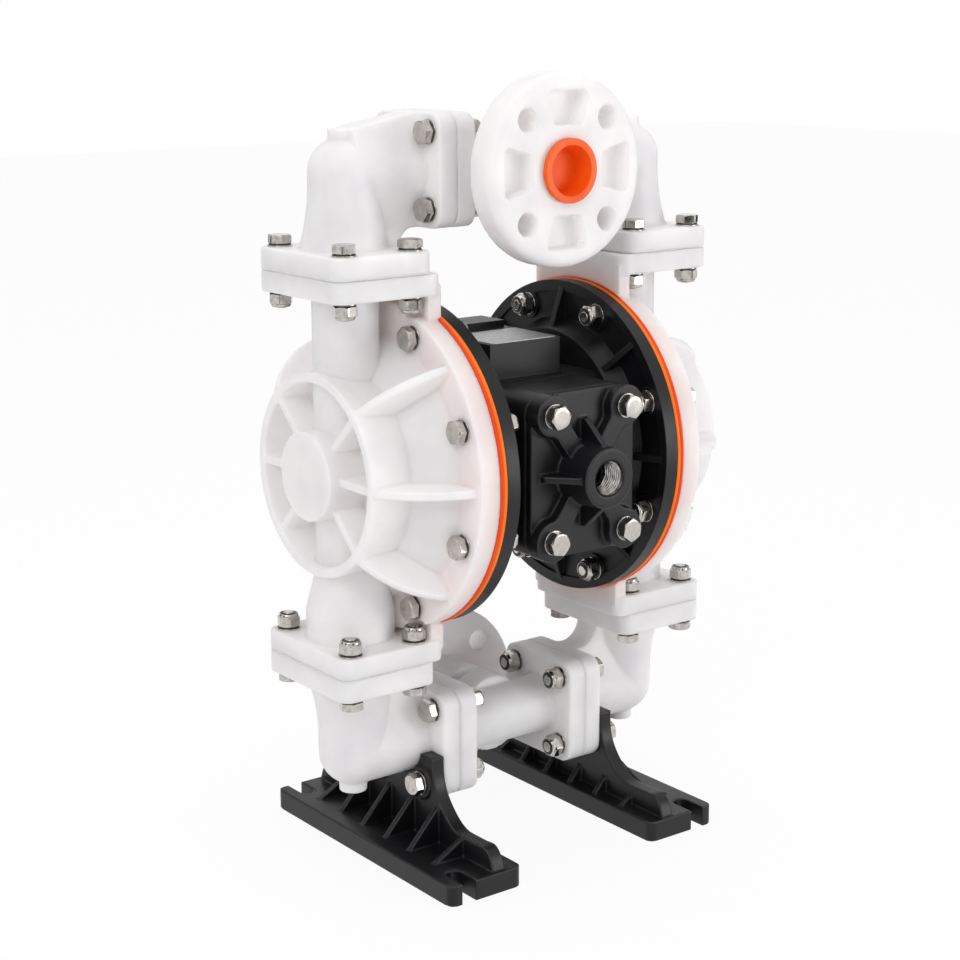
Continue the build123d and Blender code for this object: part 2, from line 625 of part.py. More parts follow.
# Air chamber: a dished disc with a raised rim and ribs towards the centre
with BuildPart() as right_inner_chamber:
    with BuildSketch(SECTION):
        with BuildLine():
            Polyline(
                (DIAPHRAGM_X, 0),
                (DIAPHRAGM_X, RIM_R),
                (INNER_X, RIM_R),
                (INNER_X, RIM_R - INNER_RIM_W),
                (INNER_X + INNER_STEP, RIM_R - INNER_RIM_W),
                (INNER_X + INNER_STEP, INNER_WALL_R),
                (CENTRE_X, INNER_BACK_R),
                (CENTRE_X, 0),
                close=True,
            )
        make_face()
    revolve(axis=ROD_AXIS)
    for i in range(RIM_BOLTS):
        with BuildSketch(radial_plane(i * 360 / RIM_BOLTS)):
            with BuildLine():
                Polyline(
                    (INNER_X + INNER_STEP + 2, INNER_BACK_R - 4),
                    (INNER_X + INNER_STEP + 2, RIM_R - INNER_RIM_W / 2),
                    (INNER_X, RIM_R - INNER_RIM_W / 2),
                    (CENTRE_X, INNER_BACK_R - 4),
                    close=True,
                )
            make_face()
        extrude(amount=INNER_RIB_T / 2, both=True)
    with BuildSketch(Plane.YZ.offset(INNER_X)):
        with Locations(*RIM_PLACES):
            Circle(NUT_PAD_R)
    extrude(amount=INNER_STEP)
    with BuildSketch(SECTION):
        with BuildLine():
            Polyline(
                (DIAPHRAGM_X, 0),
                (DIAPHRAGM_X, INNER_MOUTH_R),
                (INNER_X + INNER_STEP + INNER_FLOOR_T - 2, INNER_MOUTH_R - 3),
                (FLOOR_X, INNER_FLOOR_R),
                (FLOOR_X, 0),
                close=True,
            )
        make_face()
    revolve(axis=ROD_AXIS, mode=Mode.SUBTRACT)
    with BuildSketch(Plane.YZ.offset(CENTRE_X)):
        with Locations((0, ROD_Z)):
            Circle(BUSH_R)
        with Locations((0, ROD_Z + PILOT_RISE)):
            Circle(PILOT_R + HOLE_PLAY)
        with Locations((0, ROD_Z)):
            with PolarLocations(SCREW_CIRCLE_R, 4, start_angle=45):
                Circle(SCREW_R + RUN)
    extrude(amount=INNER_FLOOR_T, mode=Mode.SUBTRACT)
    with BuildSketch(Plane.YZ.offset(FLOOR_X)):
        with Locations((0, ROD_Z)):
            with PolarLocations(SCREW_CIRCLE_R, 4, start_angle=45):
                Circle(SCREW_HEAD_R + RUN)
    extrude(amount=-SCREW_HEAD_H, taper=45, mode=Mode.SUBTRACT)
    with BuildSketch(Plane.YZ.offset(INNER_X)):
        with Locations(*RIM_PLACES):
            Circle(BOLT_HOLE_R)
    extrude(amount=DIAPHRAGM_X - INNER_X, mode=Mode.SUBTRACT)
with BuildPart() as left_inner_chamber:
    mirror(right_inner_chamber.part, about=Plane.YZ)

# Centre body: the block between the air chambers, with its top housing and its sump
VALVE_FACE = Plane(origin=(0, 0, ROD_Z), x_dir=(1, 0, 0), z_dir=(0, -1, 0))
with BuildPart() as centre_body:
    with BuildSketch(Plane.YZ):
        with Locations((0, ROD_Z)):
            RectangleRounded(2 * BODY_Y, 2 * BODY_Z, BODY_EDGE)
    extrude(amount=CENTRE_X, both=True)
    with BuildSketch(MIDDLE.offset(TOP_RISE)):
        with Locations((0, (BODY_Y - BODY_EDGE - TOP_Y) / 2)):
            Rectangle(2 * TOP_X, TOP_Y + BODY_Y - BODY_EDGE)
    extrude(amount=BODY_Z - TOP_RISE - BODY_EDGE)
    with BuildSketch(MIDDLE.offset(REAR_TOP_RISE)):
        with Locations((0, (BODY_Y - BODY_EDGE + REAR_TOP_Y) / 2)):
            Rectangle(2 * REAR_TOP_X, BODY_Y - BODY_EDGE - REAR_TOP_Y)
    extrude(amount=TOP_RISE - REAR_TOP_RISE - 1)
    with BuildSketch(MIDDLE.offset(-SUMP_DROP)):
        RectangleRounded(2 * SUMP_X, 2 * SUMP_Y, BODY_EDGE)
    extrude(amount=SUMP_DROP - BODY_Z + BODY_EDGE)
    with BuildSketch(Plane.YZ):
        with Locations((0, ROD_Z)):
            Circle(BUSH_R)
        with Locations((0, ROD_Z + PILOT_RISE)):
            Circle(PILOT_SLEEVE_R)
    extrude(amount=CENTRE_X, both=True, mode=Mode.SUBTRACT)
    for side in (-1, 1):
        with BuildSketch(Plane.YZ.offset(side * CENTRE_X)):
            with Locations((0, ROD_Z)):
                with PolarLocations(SCREW_CIRCLE_R, 4, start_angle=45):
                    Circle(SCREW_R)
        extrude(amount=-side * (SCREW_L - INNER_FLOOR_T), mode=Mode.SUBTRACT)
    with BuildSketch(VALVE_FACE.offset(BODY_Y)):
        with GridLocations(2 * CAP_BOLT_X, 2 * CAP_BOLT_Z, 2, 2):
            Circle(BOLT_R)
    extrude(amount=CAP_FACE_Y - BODY_Y - CAP_BOLT_L, mode=Mode.SUBTRACT)
    with BuildSketch(VALVE_FACE.offset(-BODY_Y)):
        Circle(MUFFLER_STUB_R)
    extrude(amount=MUFFLER_STUB_L, mode=Mode.SUBTRACT)

# Rod bushes and rod seals, one pair at each end of the centre body
with BuildPart() as rod_bushes:
    with BuildSketch(Plane.YZ.offset(CENTRE_X - BUSH_L)):
        with Locations((0, ROD_Z)):
            Circle(BUSH_R)
            Circle(ROD_R + RUN, mode=Mode.SUBTRACT)
    extrude(amount=BUSH_L)
    mirror(about=Plane.YZ)
with BuildPart() as rod_seals:
    with BuildSketch(Plane.YZ.offset(CENTRE_X)):
        with Locations((0, ROD_Z)):
            Circle(BUSH_R)
            Circle(ROD_R + RUN, mode=Mode.SUBTRACT)
    extrude(amount=SEAL_L)
    mirror(about=Plane.YZ)

# Rod assembly: the rod, and two plates at each end that grip a diaphragm
with BuildPart() as diaphragm_rod:
    with BuildSketch(SECTION):
        with BuildLine():
            Polyline(
                (0, 0),
                (0, ROD_R),
                (INNER_PLATE_X, ROD_R),
                (INNER_PLATE_X, STUD_R),
                (OUTER_PLATE_X + STUD_END, STUD_R),
                (OUTER_PLATE_X + STUD_END, 0),
                close=True,
            )
        make_face()
    revolve(axis=ROD_AXIS)
    mirror(about=Plane.YZ)
with BuildPart() as right_inner_plate:
    with BuildSketch(SECTION):
        with BuildLine():
            Polyline(
                (INNER_PLATE_X, STUD_R),
                (INNER_PLATE_X, PLATE_R - INNER_PLATE_T),
                (INNER_PLATE_X + INNER_PLATE_T / 2, PLATE_R),
                (INNER_PLATE_X + INNER_PLATE_T, PLATE_R),
                (INNER_PLATE_X + INNER_PLATE_T, STUD_R),
                close=True,
            )
        make_face()
    revolve(axis=ROD_AXIS)
with BuildPart() as right_outer_plate:
    with BuildSketch(SECTION):
        with BuildLine():
            edge = (OUTER_PLATE_X + OUTER_PLATE_T / 3, PLATE_R)
            middle = (OUTER_PLATE_X + OUTER_PLATE_T, PLATE_R / 4)
            Polyline(middle, (middle[0], 0), (OUTER_PLATE_X, 0), (OUTER_PLATE_X, PLATE_R), edge)
            ThreePointArc(edge, (OUTER_PLATE_X + OUTER_PLATE_T * 0.8, PLATE_R * 0.65), middle)
        make_face()
    revolve(axis=ROD_AXIS)
    with BuildSketch(Plane.YZ.offset(OUTER_PLATE_X)):
        with Locations((0, ROD_Z)):
            Circle(STUD_R)
    extrude(amount=STUD_END, mode=Mode.SUBTRACT)
with BuildPart() as left_inner_plate:
    mirror(right_inner_plate.part, about=Plane.YZ)
with BuildPart() as left_outer_plate:
    mirror(right_outer_plate.part, about=Plane.YZ)

# Diaphragm: a thick rim for the clamp, a rolled convolution and a flat middle between the plates
with BuildPart() as right_diaphragm:
    with BuildSketch(SECTION):
        with BuildLine():
            inner, outer = MID_X - DIAPHRAGM_T / 2, MID_X + DIAPHRAGM_T / 2
            roll_mid = (ROLL_IN_R + ROLL_OUT_R) / 2
            Polyline((inner, ROLL_IN_R), (inner, STUD_R + GAP), (outer, STUD_R + GAP), (outer, ROLL_IN_R))
            ThreePointArc((outer, ROLL_IN_R), (outer - ROLL_X, roll_mid), (outer, ROLL_OUT_R))
            Polyline(
                (outer, ROLL_OUT_R),
                (CHAMBER_X, CAVITY_MOUTH_R + 1),
                (CHAMBER_X, DIAPHRAGM_R),
                (DIAPHRAGM_X, DIAPHRAGM_R),
                (DIAPHRAGM_X, CAVITY_MOUTH_R + 1),
                (inner, ROLL_OUT_R),
            )
            ThreePointArc((inner, ROLL_OUT_R), (inner - ROLL_X, roll_mid), (inner, ROLL_IN_R))
        make_face()
    revolve(axis=ROD_AXIS)
    with BuildSketch(Plane.YZ.offset(DIAPHRAGM_X)):
        with Locations(*RIM_PLACES):
            Circle(BOLT_HOLE_R)
    extrude(amount=DIAPHRAGM_RIM_T, mode=Mode.SUBTRACT)
with BuildPart() as left_diaphragm:
    mirror(right_diaphragm.part, about=Plane.YZ)

# Pilot valve: a rod that the inner plates push to and fro, in a sleeve above the diaphragm rod
with BuildPart() as pilot_sleeve:
    with BuildSketch(Plane.YZ):
        with Locations((0, ROD_Z + PILOT_RISE)):
            Circle(PILOT_SLEEVE_R)
            Circle(PILOT_R + RUN, mode=Mode.SUBTRACT)
    extrude(amount=CENTRE_X, both=True)
with BuildPart() as pilot_rod:
    with BuildSketch(radial_plane(90)):
        with Locations((0, PILOT_RISE + PILOT_R / 2)):
            Rectangle(2 * PILOT_HALF, PILOT_R)
        with Locations((CENTRE_X / 3, PILOT_RISE + PILOT_R), (-CENTRE_X / 3, PILOT_RISE + PILOT_R)):
            Rectangle(CENTRE_X / 4, 2 * (PILOT_R - PILOT_LAND_R), mode=Mode.SUBTRACT)
    revolve(axis=Axis((0, 0, ROD_Z + PILOT_RISE), (1, 0, 0)))

# Air valve: a body in front of the centre body, its gasket, the cap with the air inlet, and the spool inside
with BuildPart() as air_valve_body:
    with BuildSketch(VALVE_FACE.offset(VALVE_BACK_Y)):
        RectangleRounded(2 * VALVE_X, 2 * VALVE_Z, VALVE_CORNER)
    extrude(amount=VALVE_FRONT_Y - VALVE_BACK_Y)
    with BuildSketch(MIDDLE.offset(-VALVE_Z)):
        with Locations((0, -SPOOL_Y)):
            Circle(SLEEVE_R)
    extrude(amount=VALVE_Z + SLEEVE_HALF, mode=Mode.SUBTRACT)
    with BuildSketch(VALVE_FACE.offset(VALVE_FRONT_Y)):
        with GridLocations(2 * CAP_BOLT_X, 2 * CAP_BOLT_Z, 2, 2):
            Circle(BOLT_HOLE_R)
    extrude(amount=VALVE_BACK_Y - VALVE_FRONT_Y, mode=Mode.SUBTRACT)
    with BuildSketch(VALVE_FACE.offset(VALVE_FRONT_Y)):
        Circle(AIR_DUCT_R)
    extrude(amount=SPOOL_Y - VALVE_FRONT_Y, mode=Mode.SUBTRACT)
with BuildPart() as air_valve_gasket:
    with BuildSketch(VALVE_FACE.offset(VALVE_FRONT_Y)):
        RectangleRounded(2 * VALVE_X, 2 * VALVE_Z, VALVE_CORNER)
        Circle(AIR_DUCT_R, mode=Mode.SUBTRACT)
        with GridLocations(2 * CAP_BOLT_X, 2 * CAP_BOLT_Z, 2, 2):
            Circle(BOLT_HOLE_R, mode=Mode.SUBTRACT)
    extrude(amount=GASKET_T)
with BuildPart() as air_valve_cap:
    with BuildSketch(VALVE_FACE.offset(CAP_BACK_Y)):
        RectangleRounded(2 * VALVE_X, 2 * VALVE_Z, VALVE_CORNER)
    extrude(amount=CAP_PLATE_T)
    for x, z in ((1, 1), (-1, 1), (-1, -1), (1, -1)):
        with BuildSketch(VALVE_FACE.offset(CAP_BACK_Y)) as arm:
            with Locations((x * CAP_BOLT_X / 2, z * CAP_BOLT_Z / 2)):
                Rectangle(hypot(CAP_BOLT_X, CAP_BOLT_Z), CAP_ARM_W, rotation=CAP_ARM_ANGLE * x * z)
            with Locations((x * CAP_BOLT_X, z * CAP_BOLT_Z)):
                boss = Circle(CAP_BOSS_R)
            corners = arm.vertices().sort_by_distance(boss.center())
            fillet(corners[:2], CAP_ARM_ROUND)
        extrude(amount=CAP_PLATE_T + CAP_ARM_T)
    with BuildSketch(Plane(origin=(0, 0, ROD_Z), x_dir=(0, -1, 0), z_dir=(1, 0, 0))):
        with BuildLine():
            Polyline(
                (CAP_BACK_Y, 0),
                (CAP_BACK_Y, PORT_BOSS_FOOT_R),
                (PORT_BOSS_Y, PORT_BOSS_R),
                (PORT_BOSS_Y, 0),
                close=True,
            )
        nose = make_face()
        fillet(nose.vertices().sort_by_distance((0, -PORT_BOSS_Y, ROD_Z - PORT_BOSS_R))[0], PORT_BOSS_ROUND)
    revolve(axis=Axis((0, 0, ROD_Z), (0, 1, 0)))
    for angle in (0, 90, 180, 270):
        out = Vector(cos(radians(angle)), 0, sin(radians(angle)))
        with BuildSketch(Plane(origin=(0, 0, ROD_Z), x_dir=out, z_dir=out.cross(Vector(0, -1, 0)))):
            with BuildLine():
                Polyline(
                    (PORT_BOSS_R - 1, CAP_BACK_Y + CAP_PLATE_T - 1),
                    (CAP_RIB_R, CAP_BACK_Y + CAP_PLATE_T - 1),
                    (CAP_RIB_R, CAP_BACK_Y + CAP_PLATE_T + CAP_RIB_T),
                    (PORT_BOSS_R - 1, PORT_BOSS_Y - CAP_RIB_T / 2),
                    close=True,
                )
            make_face()
        extrude(amount=CAP_RIB_T / 2, both=True)
    with BuildSketch(VALVE_FACE.offset(CAP_BACK_Y)):
        Circle(AIR_DUCT_R)
    extrude(amount=PORT_BOSS_Y - CAP_BACK_Y, mode=Mode.SUBTRACT)
    with BuildSketch(VALVE_FACE.offset(PORT_BOSS_Y)):
        Circle(INSERT_R)
    extrude(amount=-INSERT_L, mode=Mode.SUBTRACT)
    with BuildSketch(VALVE_FACE.offset(CAP_BACK_Y)):
        with GridLocations(2 * CAP_BOLT_X, 2 * CAP_BOLT_Z, 2, 2):
            Circle(BOLT_HOLE_R)
    extrude(amount=CAP_PLATE_T + CAP_ARM_T, mode=Mode.SUBTRACT)
with BuildPart() as air_inlet_insert:
    with BuildSketch(VALVE_FACE.offset(PORT_BOSS_Y)):
        Circle(INSERT_R)
        Circle(INLET_R, mode=Mode.SUBTRACT)
    extrude(amount=-INSERT_L)

SPOOL_PLANE = Plane(origin=(0, -SPOOL_Y, ROD_Z - SLEEVE_HALF), x_dir=(1, 0, 0), z_dir=(0, -1, 0))
SPOOL_AXIS = Axis((0, -SPOOL_Y, 0), (0, 0, 1))
LAND_PITCH = (SPOOL_L - LAND_H) / (SPOOL_LANDS - 1)
with BuildPart() as spool_sleeve:
    with BuildSketch(MIDDLE.offset(-SLEEVE_HALF)):
        with Locations((0, -SPOOL_Y)):
            Circle(SLEEVE_R)
            Circle(SPOOL_R + RUN, mode=Mode.SUBTRACT)
    extrude(amount=2 * SLEEVE_HALF)
    with BuildSketch(VALVE_FACE.offset(SPOOL_Y - SLEEVE_R)):
        with GridLocations(0, LAND_PITCH, 1, 3):
            Circle(SLEEVE_PORT_R)
    extrude(amount=2 * SLEEVE_R, mode=Mode.SUBTRACT)
with BuildPart() as spool_end_plug:
    with BuildSketch(MIDDLE.offset(-VALVE_Z)):
        with Locations((0, -SPOOL_Y)):
            Circle(SLEEVE_R)
    extrude(amount=VALVE_Z - SLEEVE_HALF)
with BuildPart() as valve_spool:
    with BuildSketch(SPOOL_PLANE):
        with Locations((SPOOL_WAIST_R / 2, GAP + SPOOL_L / 2)):
            Rectangle(SPOOL_WAIST_R, SPOOL_L)
        for i in range(SPOOL_LANDS):
            with Locations((SPOOL_R / 2, GAP + LAND_H / 2 + i * LAND_PITCH)):
                Rectangle(SPOOL_R, LAND_H)
            with Locations((SPOOL_R - SPOOL_RING_W / 2, GAP + LAND_H / 2 + i * LAND_PITCH)):
                Rectangle(SPOOL_RING_W, SPOOL_RING_T, mode=Mode.SUBTRACT)
    revolve(axis=SPOOL_AXIS)
with BuildPart() as spool_rings:
    with BuildSketch(SPOOL_PLANE):
        for i in range(SPOOL_LANDS):
            with Locations((SPOOL_R - SPOOL_RING_W / 2, GAP + LAND_H / 2 + i * LAND_PITCH)):
                Rectangle(SPOOL_RING_W, SPOOL_RING_T)
    revolve(axis=SPOOL_AXIS)

# Exhaust muffler at the back of the centre body
with BuildPart() as exhaust_muffler:
    with BuildSketch(Plane(origin=(0, 0, ROD_Z), x_dir=(0, 1, 0), z_dir=(1, 0, 0))):
        with BuildLine():
            Polyline(
                (BODY_Y - MUFFLER_STUB_L, 0),
                (BODY_Y - MUFFLER_STUB_L, MUFFLER_STUB_R),
                (MUFFLER_Y, MUFFLER_STUB_R),
                (MUFFLER_Y, MUFFLER_R),
                (MUFFLER_END_Y, MUFFLER_R),
                (MUFFLER_END_Y, 0),
                close=True,
            )
        make_face()
    revolve(axis=Axis((0, 0, ROD_Z), (0, 1, 0)))
    with BuildSketch(VALVE_FACE.offset(-MUFFLER_Y - MUFFLER_SLOT_IN)):
        with PolarLocations(MUFFLER_R, MUFFLER_SLOTS):
            Rectangle(2 * MUFFLER_SLOT_T, MUFFLER_SLOT_T)
    extrude(amount=-(MUFFLER_END_Y - MUFFLER_Y - 2 * MUFFLER_SLOT_IN), mode=Mode.SUBTRACT)

# Check valves: the seat lies under each ball, over its sealing ring
VALVE_PLACES = [
    (side * COLUMN_X, 0, level) for level in (UPPER_JOINT_Z, LOWER_JOINT_Z) for side in (-1, 1)
]
with BuildPart() as seat:
    with BuildSketch(Plane.XZ):
        with BuildLine():
            Polyline(
                (SEAT_BORE_R, -SEAT_H),
                (SEAT_R, -SEAT_H),
                (SEAT_R, 0),
                (SEAT_MOUTH_R, 0),
                (SEAT_BORE_R, -SEAT_CONE_H),
                close=True,
            )
        make_face()
    revolve(axis=Axis.Z)
with BuildPart() as valve_seats:
    with Locations(*VALVE_PLACES):
        add(seat.part)
with BuildPart() as seat_rings:
    for x, y, z in VALVE_PLACES:
        with BuildSketch(Plane.XY.offset(z - SEAT_H)):
            with Locations((x, y)):
                Circle(SEAT_R)
                Circle(SEAT_R - RING_W, mode=Mode.SUBTRACT)
        extrude(amount=-RING_T)
with BuildPart() as manifold_rings:
    for side in (-1, 1):
        for level in (UPPER_AXIS_Z, LOWER_AXIS_Z):
            with BuildSketch(Plane.YZ.offset(side * SIDE_JOINT_X)):
                with Locations((0, level)):
                    Circle(FLOW_R + RING_W)
                    Circle(FLOW_R, mode=Mode.SUBTRACT)
            extrude(amount=side * RING_T)
balls = {}
for (x, y, z), name in zip(VALVE_PLACES, ("upper_left", "upper_right", "lower_left", "lower_right")):
    with BuildPart() as ball:
        with Locations((x, y, z + BALL_SIT)):
            Sphere(BALL_R)
    balls[f"{name}_ball"] = ball

# Feet: a slotted sole and an upright web that is clamped to the lower side joints
with BuildPart() as right_foot:
    with BuildSketch():
        with Locations(((FOOT_IN_X + FOOT_OUT_X) / 2, 0)):
            RectangleRounded(FOOT_OUT_X - FOOT_IN_X, 2 * FOOT_Y, SLOT_R)
    extrude(amount=FOOT_T)
    with BuildSketch(Plane.YZ.offset(FOOT_WEB_X)):
        with BuildLine():
            peak = (WEB_CURVE[0][0], WEB_PEAK_Z)
            Line((0, FOOT_T / 2), (0, WEB_PEAK_Z))
            Line((0, WEB_PEAK_Z), peak)
            Line(peak, WEB_CURVE[0])
            hollow = Spline(*WEB_CURVE, tangents=((0, -1), (1, 0)))
            bump = TangentArc(WEB_CURVE[-1], WEB_BUMP[0], tangent=hollow % 1)
            Spline(WEB_BUMP[0], WEB_BUMP[1], tangents=(bump % 1, (0.3, -1)))
            Polyline(WEB_BUMP[1], (WEB_BUMP[1][0], FOOT_T / 2), (0, FOOT_T / 2))
        make_face()
        mirror(about=Plane.YZ)
        with Locations((0, LOWER_AXIS_Z)):
            Circle(WEB_SADDLE_R, mode=Mode.SUBTRACT)
    extrude(amount=WEB_T)
    with BuildSketch(Plane.YZ.offset(WEB_FACE_X)):
        with Locations((-SQUARE_BOLT, LOWER_AXIS_Z - SQUARE_BOLT), (SQUARE_BOLT, LOWER_AXIS_Z - SQUARE_BOLT)):
            Circle(WEB_BOSS_R)
    extrude(amount=WEB_BOSS_T)
    for i in range(GUSSETS):
        y = (i - (GUSSETS - 1) / 2) * GUSSET_PITCH
        rise = GUSSET_RISE if abs(y) < 2 * GUSSET_PITCH else GUSSET_RISE / 2
        with BuildSketch(Plane.XZ.offset(-y)):
            with BuildLine():
                Polyline(
                    (WEB_FACE_X - 1, FOOT_T - 1),
                    (GUSSET_REACH, FOOT_T - 1),
                    (GUSSET_REACH, FOOT_T),
                    (WEB_FACE_X - 1, FOOT_T + rise),
                    close=True,
                )
            make_face()
            with BuildLine():
                Polyline(
                    (FOOT_WEB_X + 1, FOOT_T - 1),
                    (FOOT_IN_X + GUSSET_T / 2, FOOT_T - 1),
                    (FOOT_IN_X + GUSSET_T / 2, FOOT_T),
                    (FOOT_WEB_X + 1, FOOT_T + rise / 2),
                    close=True,
                )
            make_face()
        extrude(amount=GUSSET_T / 2, both=True)
    with BuildSketch():
        for side in (-1, 1):
            with Locations((SLOT_X, side * (FOOT_Y - SLOT_DEPTH + SLOT_R))):
                Circle(SLOT_R)
            with Locations((SLOT_X, side * (FOOT_Y - (SLOT_DEPTH - SLOT_R) / 2))):
                Rectangle(2 * SLOT_R, SLOT_DEPTH - SLOT_R)
    extrude(amount=FOOT_T, mode=Mode.SUBTRACT)
    with BuildSketch(Plane.YZ.offset(FOOT_WEB_X)):
        with Locations((-SQUARE_BOLT, LOWER_AXIS_Z - SQUARE_BOLT), (SQUARE_BOLT, LOWER_AXIS_Z - SQUARE_BOLT)):
            Circle(BOLT_HOLE_R)
    extrude(amount=WEB_T + WEB_BOSS_T, mode=Mode.SUBTRACT)
with BuildPart() as left_foot:
    mirror(right_foot.part, about=Plane.YZ)

# Fasteners. Each group is drawn from the faces that its washers rest on.
RIM_FACE_X = CHAMBER_X + CHAMBER_RIM_T
MANIFOLD_BACK_X = SIDE_JOINT_X - MANIFOLD_SQUARE_T
with BuildPart() as chamber_bolts:
    with Locations(*[facing((s * RIM_FACE_X, y, z), (s, 0, 0)) for s in (-1, 1) for y, z in RIM_PLACES]):
        add(hex_bolt(RIM_FACE_X - INNER_X))
with BuildPart() as chamber_nuts:
    with Locations(*[facing((s * INNER_X, y, z), (-s, 0, 0)) for s in (-1, 1) for y, z in RIM_PLACES]):
        add(lock_nut())
pad_bolts, pad_nuts = {}, {}
for name, joint, up in (("upper", UPPER_JOINT_Z, 1), ("lower", LOWER_JOINT_Z, -1)):
    heads = [
        facing((s * x, y, joint + up * ELBOW_PAD_T), (0, 0, up), (1, 0, 0)) for s in (-1, 1) for x, y in PAD_PLACES
    ]
    nuts = [
        facing((s * x, y, joint - up * PAD_T), (0, 0, -up), (1, 0, 0)) for s in (-1, 1) for x, y in PAD_PLACES
    ]
    with BuildPart() as group:
        with Locations(*heads):
            add(hex_bolt(PAD_T + ELBOW_PAD_T))
    pad_bolts[f"{name}_flange_bolts"] = group
    with BuildPart() as group:
        with Locations(*nuts):
            add(lock_nut())
    pad_nuts[f"{name}_flange_nuts"] = group
SIDE_GRIP = ELBOW_SQUARE_T + MANIFOLD_SQUARE_T
with BuildPart() as upper_manifold_bolts:
    with Locations(
        *[facing((s * FOOT_WEB_X, y, UPPER_AXIS_Z + z), (s, 0, 0)) for s in (-1, 1) for y, z in SQUARE_PLACES]
    ):
        add(hex_bolt(SIDE_GRIP))
with BuildPart() as upper_manifold_nuts:
    with Locations(
        *[facing((s * MANIFOLD_BACK_X, y, UPPER_AXIS_Z + z), (-s, 0, 0)) for s in (-1, 1) for y, z in SQUARE_PLACES]
    ):
        add(lock_nut())
with BuildPart() as lower_manifold_bolts:
    with Locations(
        *[
            facing((s * FOOT_WEB_X, y, LOWER_AXIS_Z + SQUARE_BOLT), (s, 0, 0))
            for s in (-1, 1)
            for y in (-SQUARE_BOLT, SQUARE_BOLT)
        ]
    ):
        add(hex_bolt(SIDE_GRIP))
with BuildPart() as foot_bolts:
    with Locations(
        *[
            facing((s * (WEB_FACE_X + WEB_BOSS_T), y, LOWER_AXIS_Z - SQUARE_BOLT), (s, 0, 0))
            for s in (-1, 1)
            for y in (-SQUARE_BOLT, SQUARE_BOLT)
        ]
    ):
        add(hex_bolt(SIDE_GRIP + WEB_T + WEB_BOSS_T))
with BuildPart() as lower_manifold_nuts:
    with Locations(
        *[facing((s * MANIFOLD_BACK_X, y, LOWER_AXIS_Z + z), (-s, 0, 0)) for s in (-1, 1) for y, z in SQUARE_PLACES]
    ):
        add(lock_nut())
with BuildPart() as valve_cap_screws:
    with Locations(
        *[
            facing((x * CAP_BOLT_X, -CAP_FACE_Y, ROD_Z + z * CAP_BOLT_Z), (0, -1, 0))
            for x in (-1, 1)
            for z in (-1, 1)
        ]
    ):
        add(hex_bolt(CAP_BOLT_L, 0))
with BuildPart() as screw:
    Cylinder(SCREW_R, SCREW_L, align=(Align.CENTER, Align.CENTER, Align.MAX))
    Cone(SCREW_R, SCREW_HEAD_R, SCREW_HEAD_H, align=(Align.CENTER, Align.CENTER, Align.MAX))
with BuildPart() as centre_screws:
    for side in (-1, 1):
        with Locations(facing((side * FLOOR_X, 0, ROD_Z), (side, 0, 0))):
            with PolarLocations(SCREW_CIRCLE_R, 4, start_angle=45):
                add(screw.part)

PIECES = {
    "right_outer_chamber": right_outer_chamber,
    "left_outer_chamber": left_outer_chamber,
    "upper_right_elbow": upper_right_elbow,
    "upper_left_elbow": upper_left_elbow,
    "lower_right_elbow": lower_right_elbow,
    "lower_left_elbow": lower_left_elbow,
    "discharge_manifold": discharge_manifold,
    "suction_manifold": suction_manifold,
    "discharge_plug": discharge_plug,
    "suction_plug": suction_plug,
    "right_inner_chamber": right_inner_chamber,
    "left_inner_chamber": left_inner_chamber,
    "centre_body": centre_body,
    "rod_bushes": rod_bushes,
    "rod_seals": rod_seals,
    "diaphragm_rod": diaphragm_rod,
    "right_inner_plate": right_inner_plate,
    "left_inner_plate": left_inner_plate,
    "right_outer_plate": right_outer_plate,
    "left_outer_plate": left_outer_plate,
    "right_diaphragm": right_diaphragm,
    "left_diaphragm": left_diaphragm,
    "pilot_sleeve": pilot_sleeve,
    "pilot_rod": pilot_rod,
    "air_valve_body": air_valve_body,
    "air_valve_gasket": air_valve_gasket,
    "air_valve_cap": air_valve_cap,
    "air_inlet_insert": air_inlet_insert,
    "spool_sleeve": spool_sleeve,
    "spool_end_plug": spool_end_plug,
    "valve_spool": valve_spool,
    "spool_rings": spool_rings,
    "exhaust_muffler": exhaust_muffler,
    "valve_seats": valve_seats,
    "seat_rings": seat_rings,
    "manifold_rings": manifold_rings,
    **balls,
    "right_foot": right_foot,
    "left_foot": left_foot,
    "chamber_bolts": chamber_bolts,
    "chamber_nuts": chamber_nuts,
    **pad_bolts,
    **pad_nuts,
    "upper_manifold_bolts": upper_manifold_bolts,
    "upper_manifold_nuts": upper_manifold_nuts,
    "lower_manifold_bolts": lower_manifold_bolts,
    "lower_manifold_nuts": lower_manifold_nuts,
    "foot_bolts": foot_bolts,
    "valve_cap_screws": valve_cap_screws,
    "centre_screws": centre_screws,
}
for name, piece in PIECES.items():
    piece.part.label = name
    export_step(piece.part, f"parts/{name}.step")
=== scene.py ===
"""Looks of an air operated double diaphragm pump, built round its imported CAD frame, in metres."""

import json
import logging
import math
from dataclasses import dataclass, field, replace
from enum import Enum
from functools import cache

import bmesh
import bpy
from mathutils import Matrix, Vector

